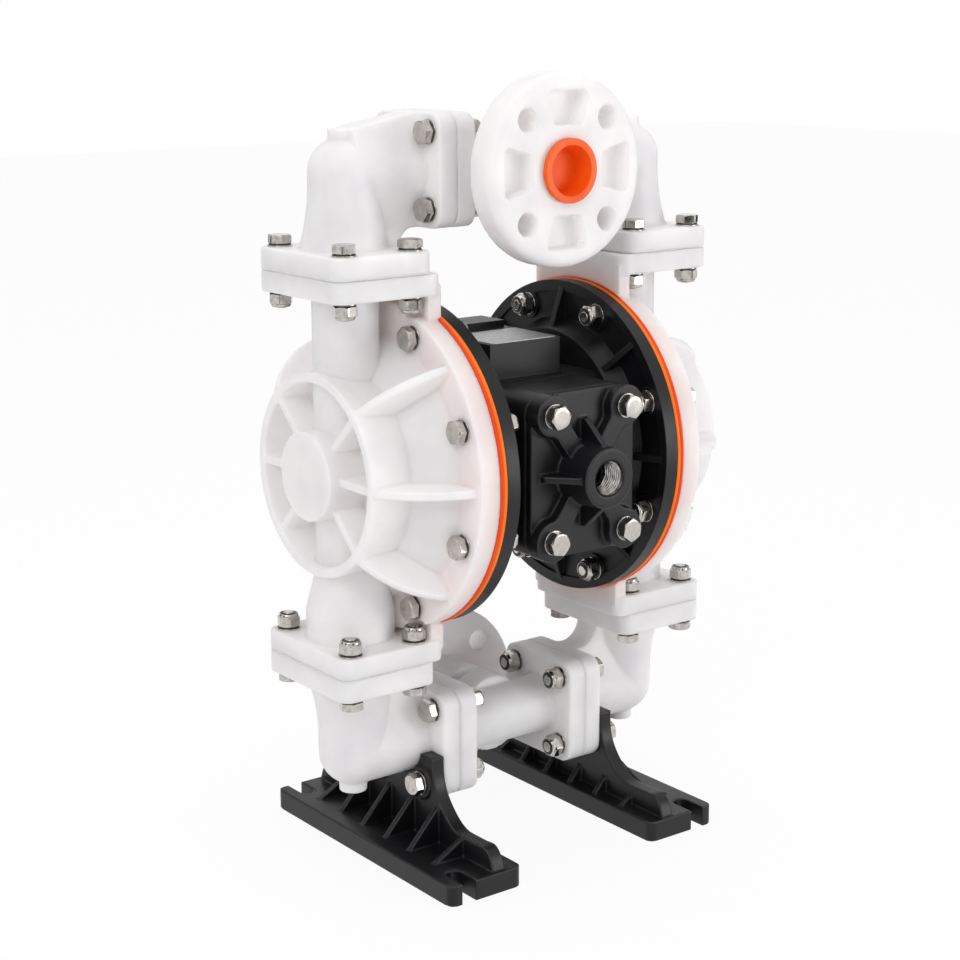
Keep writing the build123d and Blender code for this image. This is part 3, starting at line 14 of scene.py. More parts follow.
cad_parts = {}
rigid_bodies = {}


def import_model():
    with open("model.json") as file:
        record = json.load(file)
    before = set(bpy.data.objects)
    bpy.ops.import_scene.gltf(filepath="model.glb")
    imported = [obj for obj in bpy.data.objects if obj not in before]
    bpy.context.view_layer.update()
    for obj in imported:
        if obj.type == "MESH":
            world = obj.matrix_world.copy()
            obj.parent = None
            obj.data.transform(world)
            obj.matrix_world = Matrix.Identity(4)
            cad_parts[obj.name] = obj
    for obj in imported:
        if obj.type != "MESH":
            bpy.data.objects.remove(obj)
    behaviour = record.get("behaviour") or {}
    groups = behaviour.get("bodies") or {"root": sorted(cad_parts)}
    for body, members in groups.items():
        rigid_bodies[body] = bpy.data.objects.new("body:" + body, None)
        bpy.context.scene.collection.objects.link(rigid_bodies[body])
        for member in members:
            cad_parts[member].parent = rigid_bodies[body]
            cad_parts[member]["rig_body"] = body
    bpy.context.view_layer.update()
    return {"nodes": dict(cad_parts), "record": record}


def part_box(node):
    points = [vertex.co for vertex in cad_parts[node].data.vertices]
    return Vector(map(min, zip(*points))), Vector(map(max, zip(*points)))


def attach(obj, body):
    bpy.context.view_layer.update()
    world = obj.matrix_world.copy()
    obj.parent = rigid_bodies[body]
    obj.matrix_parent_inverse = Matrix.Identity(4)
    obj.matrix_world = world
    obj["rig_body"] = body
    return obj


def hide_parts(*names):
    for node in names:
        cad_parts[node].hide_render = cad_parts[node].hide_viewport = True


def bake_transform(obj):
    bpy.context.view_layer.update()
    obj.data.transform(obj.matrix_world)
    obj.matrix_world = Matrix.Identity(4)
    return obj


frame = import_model()
LOG = logging.getLogger("pump")

MM = 0.001
ROD_Z = sum(corner.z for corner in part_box("diaphragm_rod")) / 2  # height of the rod's axis

Triple = tuple[float, float, float]
Colour = Triple
Pair = tuple[float, float]
Profile = list[Pair]


class Slot(Enum):
    """Material slots of the part's record."""

    NATURAL = "natural_polypropylene"
    BLACK = "black_plastic"
    ELASTOMER = "orange_elastomer"
    ORANGE = "orange_plastic"
    PTFE = "white_ptfe"
    RUBBER = "black_rubber"
    POLISHED = "polished_steel"
    BRONZE = "bronze"
    ALUMINIUM = "aluminium"
    INLET = "inlet_metal"
    STAINLESS = "stainless_steel"


class Fastener(Enum):
    """The two ends of a bolted joint."""

    BOLT = "bolt"
    NUT = "nut"


# Shader graphs


class Signal:
    """A number that varies over a surface. Arithmetic on it adds Math nodes to its graph."""

    def __init__(self, graph: "Graph", socket: bpy.types.NodeSocket) -> None:
        """Wraps a socket.

        Args:
            graph: The graph that the socket belongs to.
            socket: An output socket that carries a number.
        """
        self.graph = graph
        self.socket = socket

    def _math(self, operation: str, *values: "Signal | float") -> "Signal":
        """Adds a Math node.

        Args:
            operation: The node's operation.
            values: Its inputs in order.

        Returns:
            The node's result.
        """
        node = self.graph.node("ShaderNodeMath", {"operation": operation}, dict(enumerate(values)))
        return Signal(self.graph, node.outputs[0])

    def __add__(self, other: "Signal | float") -> "Signal":
        """Sum."""
        return self._math("ADD", self, other)

    __radd__ = __add__

    def __sub__(self, other: "Signal | float") -> "Signal":
        """Difference."""
        return self._math("SUBTRACT", self, other)

    def __rsub__(self, other: "Signal | float") -> "Signal":
        """Difference, the other way round."""
        return self._math("SUBTRACT", other, self)

    def __mul__(self, other: "Signal | float") -> "Signal":
        """Product."""
        return self._math("MULTIPLY", self, other)

    __rmul__ = __mul__

    def __pow__(self, other: float) -> "Signal":
        """Power."""
        return self._math("POWER", self, other)

    def __abs__(self) -> "Signal":
        """Distance from 0."""
        return self._math("ABSOLUTE", self)

    def clamped(self) -> "Signal":
        """The number kept between 0 and 1."""
        return self._math("MAXIMUM", self._math("MINIMUM", self, 1.0), 0.0)

    def ramp(self, low: float, high: float) -> "Signal":
        """Rises from 0 to 1 between two values.

        Args:
            low: Value that gives 0.
            high: Value that gives 1.

        Returns:
            The clamped slope.
        """
        return ((self - low) * (1 / (high - low))).clamped()


class Graph:
    """A node graph, with one method that adds any node."""

    def __init__(self, owner: bpy.types.Material | bpy.types.World) -> None:
        """Starts an empty graph.

        Args:
            owner: What the graph belongs to.
        """
        owner.use_nodes = True
        self.tree = owner.node_tree
        self.tree.nodes.clear()

    def node(
        self, kind: str, settings: dict | None = None, inputs: dict | None = None
    ) -> bpy.types.Node:
        """Adds a node.

        Args:
            kind: The node's type.
            settings: Attributes to set before anything is linked.
            inputs: Values, sockets or signals by the name or number of the node's input.

        Returns:
            The node.
        """
        made = self.tree.nodes.new(kind)
        for key, value in (settings or {}).items():
            setattr(made, key, value)
        for key, value in (inputs or {}).items():
            self.feed(made.inputs[key], value)
        return made

    def feed(self, socket: bpy.types.NodeSocket, value: object) -> None:
        """Links or sets an input.

        Args:
            socket: The input.
            value: A signal, an output socket, a number or a colour.
        """
        if isinstance(value, Signal):
            value = value.socket
        if isinstance(value, bpy.types.NodeSocket):
            self.tree.links.new(value, socket)
        elif isinstance(value, tuple) and socket.type == "RGBA":
            socket.default_value = (*value, 1)
        else:
            socket.default_value = value

    def clear_view(self) -> Signal:
        """1 for rays that are seen, straight or by reflection, and 0 for those that light the pump."""
        paths = self.node("ShaderNodeLightPath").outputs
        kinds = ("Camera", "Glossy", "Transmission")
        return sum(Signal(self, paths[f"Is {kind} Ray"]) for kind in kinds).clamped()


class Surface(Graph):
    """The node graph of one material, around a Principled shader."""

    def __init__(self, name: str) -> None:
        """Starts a material.

        Args:
            name: The material's name.
        """
        self.material = bpy.data.materials.new(name)
        super().__init__(self.material)
        self.output = self.node("ShaderNodeOutputMaterial")
        self.shader = self.node("ShaderNodeBsdfPrincipled")
        self.feed(self.output.inputs["Surface"], self.shader.outputs["BSDF"])

    def position(self) -> bpy.types.NodeSocket:
        """The surface point's vector, in metres."""
        return self.node("ShaderNodeNewGeometry").outputs["Position"]

    def place(self) -> tuple[Signal, ...]:
        """The surface point's x, y and z, in metres."""
        parts = self.node("ShaderNodeSeparateXYZ", None, {0: self.position()})
        return tuple(Signal(self, parts.outputs[axis]) for axis in "XYZ")

    def noise(self, size: float, detail: float = 3.0, stretch: Triple = (1, 1, 1)) -> Signal:
        """Noise over the object.

        Args:
            size: Width of a patch in metres.
            detail: Finer layers in it.
            stretch: How many times finer it is along each axis.

        Returns:
            The noise, from 0 to 1.
        """
        vectors = {0: self.position(), 1: stretch}
        scaled = self.node("ShaderNodeVectorMath", {"operation": "MULTIPLY"}, vectors).outputs[0]
        inputs = {"Vector": scaled, "Scale": 1 / size, "Detail": detail}
        return Signal(self, self.node("ShaderNodeTexNoise", None, inputs).outputs["Fac"])

    def open_to(self, reach: float) -> Signal:
        """How open the surface is, from 0 deep in a recess to 1 in the clear.

        Args:
            reach: How far away another surface still counts, in metres.

        Returns:
            The openness.
        """
        made = self.node("ShaderNodeAmbientOcclusion", {"samples": 8}, {"Distance": reach})
        return Signal(self, made.outputs["AO"])

    def pointed(self) -> Signal:
        """How sharply the surface bulges: over 0.5 on outer edges, under it in corners."""
        return Signal(self, self.node("ShaderNodeNewGeometry").outputs["Pointiness"])

    def mix(self, factor: Signal, first: object, second: object) -> bpy.types.NodeSocket:
        """Blends two colours.

        Args:
            factor: 0 for the first, 1 for the second.
            first: Colour or socket.
            second: Colour or socket.

        Returns:
            The blended colour's socket.
        """
        made = self.node("ShaderNodeMix", {"data_type": "RGBA"}, {0: factor, 6: first, 7: second})
        return made.outputs[2]

    def relief(self, height: Signal, depth: float, rounding: float = 0.0) -> None:
        """Gives the surface relief and softened edges.

        Args:
            height: Relief, from 0 to 1.
            depth: Its depth in metres.
            rounding: Radius of the softened edges, in metres.
        """
        inputs = {"Height": height, "Distance": depth, "Strength": 1.0}
        if rounding:
            bevel = self.node("ShaderNodeBevel", {"samples": 6}, {"Radius": rounding})
            inputs["Normal"] = bevel.outputs[0]
        self.shade(Normal=self.node("ShaderNodeBump", None, inputs).outputs[0])

    def shade(self, **inputs: object) -> None:
        """Sets the shader's inputs.

        Args:
            inputs: Values or links, by the input's name with _ for a space.
        """
        for key, value in inputs.items():
            self.feed(self.shader.inputs[key.replace("_", " ")], value)


@dataclass(frozen=True)
class PaintedRimGlow:
    """Painted light: an orange-pink glow painted into the white plastic beside the orange rims,
    standing in for the light that the rims pass into it.
    """

    colour: Colour
    beside: Pair = (70 * MM, 92 * MM)
    around: Pair = (98 * MM, 116 * MM)
    least: float = 0.55
    clouded: float = 0.25

    def over(self, graph: Surface, colour: bpy.types.NodeSocket, cloud: Signal) -> bpy.types.NodeSocket:
        """Paints the orange glow into a colour near the rims.

        Args:
            graph: The material's graph.
            colour: The colour so far.
            cloud: The colour's cloud, which varies the painted glow.

        Returns:
            The colour with the painted glow.
        """
        x, y, z = graph.place()
        radius = (y * y + (z - ROD_Z) * (z - ROD_Z)) ** 0.5
        near = (1 - abs(x).ramp(*self.beside)) * (1 - radius.ramp(*self.around))
        return graph.mix(near * (self.least + self.clouded * cloud), colour, self.colour)


@dataclass(frozen=True)
class Wear:
    """Rubbed outer edges, paler and rougher than the rest."""

    colour: Colour = (0.09, 0.09, 0.095)
    share: float = 0.6
    edge: Pair = (0.515, 0.57)
    patch: float = 7 * MM
    rough: float = 0.1

    def amount(self, graph: Surface) -> Signal:
        """How worn the surface is.

        Args:
            graph: The material's graph.

        Returns:
            0 where it is whole, and up to 1 on outer edges.
        """
        patches = graph.noise(self.patch, 4.0).ramp(0.3, 0.6)
        return graph.pointed().ramp(*self.edge) * (0.4 + 0.6 * patches)


@dataclass(frozen=True)
class Moulded:
    """Injection-moulded plastic, with a slight cloud in its colour and a fine grain; some finishes add
    painted light in deep recesses and a painted orange glow near the rims.
    """

    name: str
    colour: Colour
    cloud: Colour
    roughness: float
    grain: float
    translucence: float = 0.0
    glow: Colour = (1.0, 0.9, 0.85)
    depth: float = 4 * MM
    rounding: float = 0.6 * MM
    specular: float = 0.45
    wear: Wear | None = None
    painted_rim_glow: PaintedRimGlow | None = None
    painted_hollow_light: Colour | None = None
    cloud_size: float = 26 * MM
    speck_size: float = 1.1 * MM
    painted_light_reach: float = 28 * MM

    def material(self) -> bpy.types.Material:
        """Builds the material.

        Returns:
            The finished material.
        """
        graph = Surface(self.name)
        cloud = graph.noise(self.cloud_size, 2.0).ramp(0.35, 0.7)
        speck = graph.noise(self.speck_size, 3.0)
        colour = graph.mix(cloud, self.colour, self.cloud)
        rough = self.roughness + 0.12 * (speck - 0.5) + 0.06 * cloud
        # Painted light: deep recesses are mixed towards a paler, warmer colour, standing in for light
        # that passes through the plastic.
        if self.painted_hollow_light:
            colour = graph.mix(graph.open_to(self.painted_light_reach).ramp(0.85, 0.35), colour, self.painted_hollow_light)
        if self.painted_rim_glow:
            colour = self.painted_rim_glow.over(graph, colour, cloud)
        if self.wear:
            worn = self.wear.amount(graph)
            colour = graph.mix(worn * self.wear.share, colour, self.wear.colour)
            rough = rough + self.wear.rough * worn
        graph.shade(
            Base_Color=colour,
            Roughness=rough,
            Specular_IOR_Level=self.specular,
            Subsurface_Weight=self.translucence,
            Subsurface_Radius=self.glow,
            Subsurface_Scale=self.depth,
        )
        graph.relief(speck + 0.35 * cloud, self.grain, self.rounding)
        return graph.material


@dataclass(frozen=True)
class ThreadRootShade:
    """A threaded bore along Y, with painted shade that darkens its thread towards the roots."""

    x: float
    z: float
    crest: float
    root: float
    # Painted shade: the colour at the thread's roots.
    colour: Colour = (0.05, 0.048, 0.045)

    def over(self, graph: Surface, colour: bpy.types.NodeSocket) -> bpy.types.NodeSocket:
        """Paints shade into a colour by its distance from the bore's axis.

        Args:
            graph: The material's graph.
            colour: The colour so far.

        Returns:
            The colour with the painted shade.
        """
        x, _, z = graph.place()
        radius = ((x - self.x) * (x - self.x) + (z - self.z) * (z - self.z)) ** 0.5
        return graph.mix(radius.ramp(self.crest, self.root), colour, self.colour)


@dataclass(frozen=True)
class Metal:
    """Bare metal with machining marks and a little grime."""

    name: str
    colour: Colour
    tarnish: Colour
    roughness: float
    marks: Triple = (1, 1, 1)
    bore: ThreadRootShade | None = None
    blotch_size: float = 3 * MM
    mark_size: float = 0.9 * MM
    scratch: float = 0.02 * MM
    rounding: float = 0.25 * MM

    def material(self) -> bpy.types.Material:
        """Builds the material.

        Returns:
            The finished material.
        """
        graph = Surface(self.name)
        blotch = graph.noise(self.blotch_size, 4.0).ramp(0.4, 0.75)
        lines = graph.noise(self.mark_size, 2.0, self.marks)
        colour = graph.mix(blotch, self.colour, self.tarnish)
        # Painted shade in the roots of a threaded bore.
        if self.bore:
            colour = self.bore.over(graph, colour)
        rough = self.roughness + 0.16 * blotch + 0.08 * (lines - 0.5)
        graph.shade(Base_Color=colour, Metallic=1.0, Roughness=rough)
        graph.relief(lines, self.scratch, self.rounding)
        return graph.material


@dataclass(frozen=True)
class Backdrop:
    """White floor that shows white to the camera and keeps a soft part of the shadow."""

    name: str = "studio_floor"
    colour: Colour = (0.90, 0.90, 0.90)
    speckle: Colour = (0.92, 0.92, 0.92)
    speckle_size: float = 4 * MM
    lit: float = 0.93

    def material(self) -> bpy.types.Material:
        """Builds the material.

        Returns:
            The finished material.
        """
        graph = Surface(self.name)
        speck = graph.noise(self.speckle_size, 2.0)
        graph.shade(Base_Color=graph.mix(speck, self.colour, self.speckle), Roughness=0.9)
        glow = graph.node("ShaderNodeEmission", None, {"Color": (1.0, 1.0, 1.0), "Strength": 1.0})
        shares = {0: graph.clear_view() * self.lit, 1: graph.shader.outputs["BSDF"], 2: glow.outputs[0]}
        blend = graph.node("ShaderNodeMixShader", None, shares)
        graph.feed(graph.output.inputs["Surface"], blend.outputs[0])
        return graph.material


# Finishes of the pump

FINISHES: dict[Slot, Moulded | Metal] = {
    Slot.NATURAL: Moulded(
        "natural_moulding",
        colour=(0.87, 0.845, 0.845),
        cloud=(0.79, 0.77, 0.79),
        roughness=0.42,
        grain=0.05 * MM,
        translucence=0.8,
        glow=(1.0, 0.95, 0.93),
        depth=12 * MM,
        rounding=0.9 * MM,
        # Painted light: an orange glow near the diaphragm rims.
        painted_rim_glow=PaintedRimGlow((0.88, 0.62, 0.56)),
        # Painted light in the deep recesses of the white plastic.
        painted_hollow_light=(0.975, 0.94, 0.935),
    ),
    Slot.BLACK: Moulded(
        "black_moulding",
        colour=(0.0055, 0.0055, 0.0068),
        cloud=(0.0075, 0.0075, 0.009),
        roughness=0.36,
        grain=0.025 * MM,
        rounding=0.9 * MM,
        specular=0.33,
    ),
    Slot.ELASTOMER: Moulded(
        "orange_rubber",
        colour=(0.86, 0.075, 0.006),
        cloud=(0.80, 0.06, 0.005),
        specular=0.2,
        roughness=0.42,
        grain=0.03 * MM,
        translucence=0.15,
        glow=(1.0, 0.25, 0.05),
    ),
    Slot.ORANGE: Moulded(
        "orange_moulding",
        colour=(0.93, 0.125, 0.008),
        cloud=(0.88, 0.10, 0.006),
        specular=0.25,
        roughness=0.38,
        grain=0.02 * MM,
        translucence=0.2,
        glow=(1.0, 0.25, 0.05),
    ),
    Slot.PTFE: Moulded(
        "ptfe",
        colour=(0.8, 0.8, 0.77),
        cloud=(0.76, 0.76, 0.73),
        roughness=0.35,
        grain=0.01 * MM,
    ),
    Slot.RUBBER: Moulded(
        "black_rubber",
        colour=(0.02, 0.02, 0.02),
        cloud=(0.026, 0.026, 0.026),
        roughness=0.6,
        grain=0.02 * MM,
    ),
    Slot.POLISHED: Metal("polished_steel", (0.62, 0.62, 0.63), (0.55, 0.55, 0.55), 0.12),
    Slot.BRONZE: Metal("bronze", (0.60, 0.36, 0.14), (0.42, 0.24, 0.10), 0.3),
    Slot.ALUMINIUM: Metal("aluminium", (0.72, 0.73, 0.74), (0.62, 0.63, 0.64), 0.32, (1, 6, 6)),
    Slot.INLET: Metal("inlet_metal", (0.52, 0.50, 0.48), (0.36, 0.345, 0.33), 0.2),
    Slot.STAINLESS: Metal("stainless_steel", (0.56, 0.535, 0.505), (0.40, 0.375, 0.35), 0.11),
}
WORN_BLACK = replace(FINISHES[Slot.BLACK], name="worn_black_moulding", wear=Wear())
# Partly the spring washers' own dark colour, partly painted shade for the gap under each head and nut.
DARK_WASHER_PAINTED_SHADE = Metal("dark_washer_painted_shade", (0.07, 0.066, 0.062), (0.03, 0.029, 0.027), 0.3)
# Painted light: a brighter copy of the orange rubber for the wide bead of each diaphragm rim; the
# narrow bead keeps the plain rubber.
PAINTED_LIGHT_RIM = replace(
    FINISHES[Slot.ELASTOMER],
    name="orange_rubber_painted_light",
    colour=(0.98, 0.21, 0.012),
    cloud=(0.96, 0.17, 0.01),
)
NYLON = Moulded(
    "nylon_ring",
    colour=(0.015, 0.015, 0.016),
    cloud=(0.03, 0.03, 0.032),
    roughness=0.35,
    grain=0.01 * MM,
)
PLATE = Metal("bare_nameplate", (0.42, 0.42, 0.42), (0.33, 0.33, 0.33), 0.34, (1, 9, 1))


@cache
def finish(kind: Moulded | Metal | Backdrop) -> bpy.types.Material:
    """Builds a finish's material once.

    Args:
        kind: The finish.

    Returns:
        Its material.
    """
    return kind.material()


def dress(piece: bpy.types.Object, *finishes: Moulded | Metal | Backdrop) -> None:
    """Puts finishes on a piece's material slots.

    Args:
        piece: The piece.
        finishes: One finish for each of its material numbers.
    """
    slots = piece.data.materials
    while len(slots) > len(finishes):
        slots.pop()
    for number, kind in enumerate(finishes):
        if number < len(slots):
            slots[number] = finish(kind)
        else:
            slots.append(finish(kind))


# Meshes


@dataclass
class Stock:
    """A mesh being made, in metres. Each feature added to it has its own place and material number."""

    name: str
    mesh: bmesh.types.BMesh = field(default_factory=bmesh.new)

    def _ring(self, profile: Profile, angle: float, place: Matrix) -> list[bmesh.types.BMVert]:
        """Adds the points of a profile that is turned by an angle.

        Args:
            profile: Radius and height pairs, in mm.
            angle: The turn, in radians.
            place: Where the Z axis and origin go.

        Returns:
            The points in the profile's order.
        """
        x, y = math.cos(angle) * MM, math.sin(angle) * MM
        return [self.mesh.verts.new(place @ Vector((r * x, r * y, z * MM))) for r, z in profile]

    def _face(self, corners: list[bmesh.types.BMVert], material: int) -> None:
        """Adds a smooth face.

        Args:
            corners: Its corners in order.
            material: Its material number.
        """
        face = self.mesh.faces.new(corners)
        face.material_index = material
        face.smooth = True

    def _skin(self, rings: list[list[bmesh.types.BMVert]], material: int, closed: bool) -> None:
        """Joins rows of points with faces, the last row to the first.

        Args:
            rings: Rows of points.
            material: The faces' material number.
            closed: Whether each row closes on itself too.
        """
        count = len(rings[0])
        for here, there in zip(rings, rings[1:] + rings[:1]):
            for i in range(count if closed else count - 1):
                j = (i + 1) % count
                self._face([here[i], there[i], there[j], here[j]], material)

    def turned(self, profile: Profile, place: Matrix, steps: int = 40, material: int = 0) -> None:
        """Adds a turned feature.

        Args:
            profile: Radius and height pairs, in mm. It closes on itself.
            place: Where the feature's Z axis and origin go.
            steps: Facets round it.
            material: Its material number.
        """
        rings = [self._ring(profile, math.tau * step / steps, place) for step in range(steps)]
        self._skin(rings, material, True)

    def hexagon(
        self,
        across: float,
        low: float,
        high: float,
        crown: float,
        slope: float,
        place: Matrix,
        bore: float = 0.0,
        foot: float = 0.0,
    ) -> None:
        """Adds a hexagon with turned-off corners.

        Args:
            across: Width across the flats, in mm.
            low: Height of its lower face, in mm.
            high: Height of its upper face, in mm.
            crown: Radius of the flat circle on top, in mm.
            slope: Angle of the turned-off corners, in degrees.
            place: Where its Z axis and origin go.
            bore: Radius of a hole through it, in mm.
            foot: Rise of its lower edge for each mm that a corner stands out.
        """
        each, half, sixth = 10, across / 2, math.pi / 3
        corner, under, brim, eased = 1.142 * half, 0.94 * half, 0.97, 0.02
        rings = []
        for step in range(6 * each):
            angle = math.tau * step / (6 * each)
            off = (angle + sixth / 2) % sixth - sixth / 2
            reach = min(half / math.cos(off), corner)
            drop = max(reach - crown, 0) * math.tan(math.radians(slope))
            rise = max(reach - half, 0) * foot
            side = [(bore, low), (under, low), (reach, low + rise), (reach, high - drop)]
            top = [(crown, high - eased), (brim * crown, high), (0.6 * crown, high), (bore, high)]
            rings.append(self._ring(side + top, angle, place))
        self._skin(rings, 0, bore > 0)

    def sheet(self, rows: list[list[Triple]]) -> None:
        """Adds a surface through a grid of points.

        Args:
            rows: Rows of points, in mm.
        """
        grid = [[self.mesh.verts.new(Vector(p) * MM) for p in row] for row in rows]
        for here, there in zip(grid, grid[1:]):
            for i in range(len(here) - 1):
                self._face([here[i], here[i + 1], there[i + 1], there[i]], 0)

    def piece(
        self, body: str, slot: Slot, *finishes: Moulded | Metal, crease: float = 32.0
    ) -> bpy.types.Object:
        """Ends the mesh and makes it a piece of the pump.

        Args:
            body: The body that it rides on.
            slot: Its slot in the record; not used.
            finishes: Its finishes by material number.
            crease: Edges sharper than this stay crisp, in degrees.

        Returns:
            The piece.
        """
        bmesh.ops.remove_doubles(self.mesh, verts=self.mesh.verts, dist=1e-7)
        bmesh.ops.dissolve_degenerate(self.mesh, edges=self.mesh.edges, dist=1e-8)
        bmesh.ops.recalc_face_normals(self.mesh, faces=self.mesh.faces)
        limit = math.radians(crease)
        for edge in self.mesh.edges:
            edge.smooth = len(edge.link_faces) == 2 and edge.calc_face_angle(0) < limit
        data = bpy.data.meshes.new(self.name)
        self.mesh.to_mesh(data)
        self.mesh.free()
        made = bpy.data.objects.new(self.name, data)
        bpy.context.scene.collection.objects.link(made)
        dress(made, *finishes)
        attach(made, body)
        LOG.info("%s: %d faces on %s", self.name, len(data.polygons), body)
        return made


def loose_parts(node: str) -> list[tuple[Vector, Vector, list[Vector]]]:
    """The separate solids of a CAD node.

    Args:
        node: The node's name.

    Returns:
        The lowest corner, highest corner and points of each solid, in metres.
    """
    mesh = bmesh.new()
    mesh.from_mesh(frame["nodes"][node].data)
    bmesh.ops.remove_doubles(mesh, verts=mesh.verts, dist=2e-6)
    left = set(mesh.verts)
    parts = []
    while left:
        front = [left.pop()]
        found = list(front)
        while front:
            for edge in front.pop().link_edges:
                for vert in edge.verts:
                    if vert in left:
                        left.remove(vert)
                        front.append(vert)
                        found.append(vert)
        points = [v.co.copy() for v in found]
        low = Vector(min(p[k] for p in points) for k in range(3))
        high = Vector(max(p[k] for p in points) for k in range(3))
        parts.append((low, high, points))
    mesh.free()
    return sorted(parts, key=lambda part: tuple(round(v, 5) for v in part[0]))


def off_axis(way: Vector, axis: int) -> float:
    """The length of a vector without its part along one axis."""
    return math.hypot(*(way[k] for k in range(3) if k != axis))


@dataclass
class Fasteners:
    """The M8 bolts, nuts and cap screws, each set standing where its CAD solids stand."""

    across: float = 13.0
    head: float = 5.3
    nut: float = 8.0
    crown_r: float = 6.05
    collar_r: float = 6.15
    cad_washer_r: float = 8.0
    washer_r: float = 7.5
    spring_r: float = 6.7
    flat_t: float = 0.7
    washer_t: float = 1.6
    hole_r: float = 4.1
    shank_r: float = 4.0
    gap: float = 0.35
    first_turn: float = 0.35
    next_turn: float = 2.399963
    sets: tuple[tuple[str, Fastener], ...] = (
        ("chamber_bolts", Fastener.BOLT),
        ("chamber_nuts", Fastener.NUT),
        ("upper_flange_bolts", Fastener.BOLT),
        ("upper_flange_nuts", Fastener.NUT),
        ("lower_flange_bolts", Fastener.BOLT),
        ("lower_flange_nuts", Fastener.NUT),
        ("upper_manifold_bolts", Fastener.BOLT),
        ("upper_manifold_nuts", Fastener.NUT),
        ("lower_manifold_bolts", Fastener.BOLT),
        ("lower_manifold_nuts", Fastener.NUT),
        ("foot_bolts", Fastener.BOLT),
        ("valve_cap_screws", Fastener.BOLT),
    )

    def places(self, node: str, kind: Fastener) -> list[tuple[Matrix, float]]:
        """Finds where the set's fasteners sit.

        Args:
            node: The CAD node.
            kind: Bolt or nut.

        Returns:
            For each, the frame on its seat with Z outwards, and its shank below the seat in mm.
        """
        found = []
        for number, (low, high, points) in enumerate(loose_parts(node)):
            size = high - low
            axis = max(range(3), key=lambda k: abs(size[k] - 2 * self.cad_washer_r * MM))
            middle = (low + high) / 2
            rim_r = (self.cad_washer_r - 0.2) * MM
            rim = [p[axis] for p in points if off_axis(p - middle, axis) > rim_r]
            under, over = min(rim) - low[axis], high[axis] - max(rim)
            outward = 1 if (over < under) == (kind is Fastener.BOLT) else -1
            seat = middle.copy()
            seat[axis] = min(rim) if outward > 0 else max(rim)
            way = Vector(outward * (k == axis) for k in range(3))
            turn = Matrix.Rotation(self.first_turn + self.next_turn * number, 4, "Z")
            place = Matrix.Translation(seat) @ way.to_track_quat("Z", "Y").to_matrix().to_4x4() @ turn
            found.append((place, (under if outward > 0 else over) / MM))
        return found

    def washer(self, stock: Stock, place: Matrix) -> None:
        """Adds a flat washer and the spring washer on it, whose near-black colour is partly its own and
        partly painted shade for the gap under the head or nut.

        Args:
            stock: The mesh.
            place: The seat's frame.
        """
        hole, flat, r = self.hole_r, self.flat_t, self.washer_r
        plain = [(hole, 0), (r - 0.15, 0), (r, 0.15), (r, flat - 0.2), (r - 0.2, flat), (hole, flat)]
        stock.turned(plain, place, 44)
        top, r = self.washer_t, self.spring_r
        spring = [(hole, flat), (r, flat), (r, top - 0.15), (r - 0.15, top), (hole, top)]
        # Material 1: near black, partly painted shade under the head or nut.
        stock.turned(spring, place, 40, 1)

    def bolt(self, stock: Stock, place: Matrix, length: float) -> None:
        """Adds a hexagon bolt and its washer.

        Args:
            stock: The mesh.
            place: The seat's frame.
            length: Shank below the seat, in mm.
        """
        self.washer(stock, place)
        low, crown, r = self.washer_t, self.crown_r, self.shank_r
        under, tip = low + self.gap, -length
        stock.turned([(5.0, low), (crown, low), (crown, under), (5.0, under)], place, 40)
        stock.hexagon(self.across, under, low + self.head, crown, 27.0, place)
        shank = [(0, low), (r, low), (r, tip + 1.6), (r - 0.65, tip + 1.0), (r - 0.65, tip + 0.25)]
        stock.turned(shank + [(r - 1, tip), (0, tip)], place, 28)

    def lock_nut(self, stock: Stock, place: Matrix) -> None:
        """Adds a nut with its collar, nylon ring and washer, and the end of its bolt's thread.

        Args:
            stock: The mesh.
            place: The seat's frame.
        """
        self.washer(stock, place)
        low = self.washer_t
        top = low + self.nut
        wide = self.collar_r
        stock.hexagon(self.across, low + 0.1, top - 1.8, wide, 34.0, place, bore=4.05, foot=0.5)
        collar = [(5.3, top - 2.6), (wide, top - 2.6), (wide, top - 1.5), (6.0, top - 0.8)]
        lip = [(5.75, top - 0.3), (5.5, top - 0.05), (5.3, top - 0.05), (5.25, top - 0.3)]
        stock.turned(collar + lip, place, 44)
        ring = [(3.3, top - 3), (5.35, top - 3), (5.35, top - 0.35), (4.9, top - 0.2)]
        stock.turned(ring + [(3.9, top - 0.1), (3.3, top - 0.1)], place, 40, 2)

    def build(self) -> None:
        """Replaces each CAD set with detailed fasteners."""
        for node, kind in self.sets:
            stock = Stock(node + "_set")
            for place, length in self.places(node, kind):
                if kind is Fastener.BOLT:
                    self.bolt(stock, place, length)
                else:
                    self.lock_nut(stock, place)
            steel = FINISHES[Slot.STAINLESS]
            made = stock.piece("pump", Slot.STAINLESS, steel, DARK_WASHER_PAINTED_SHADE, NYLON)
            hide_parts(node)


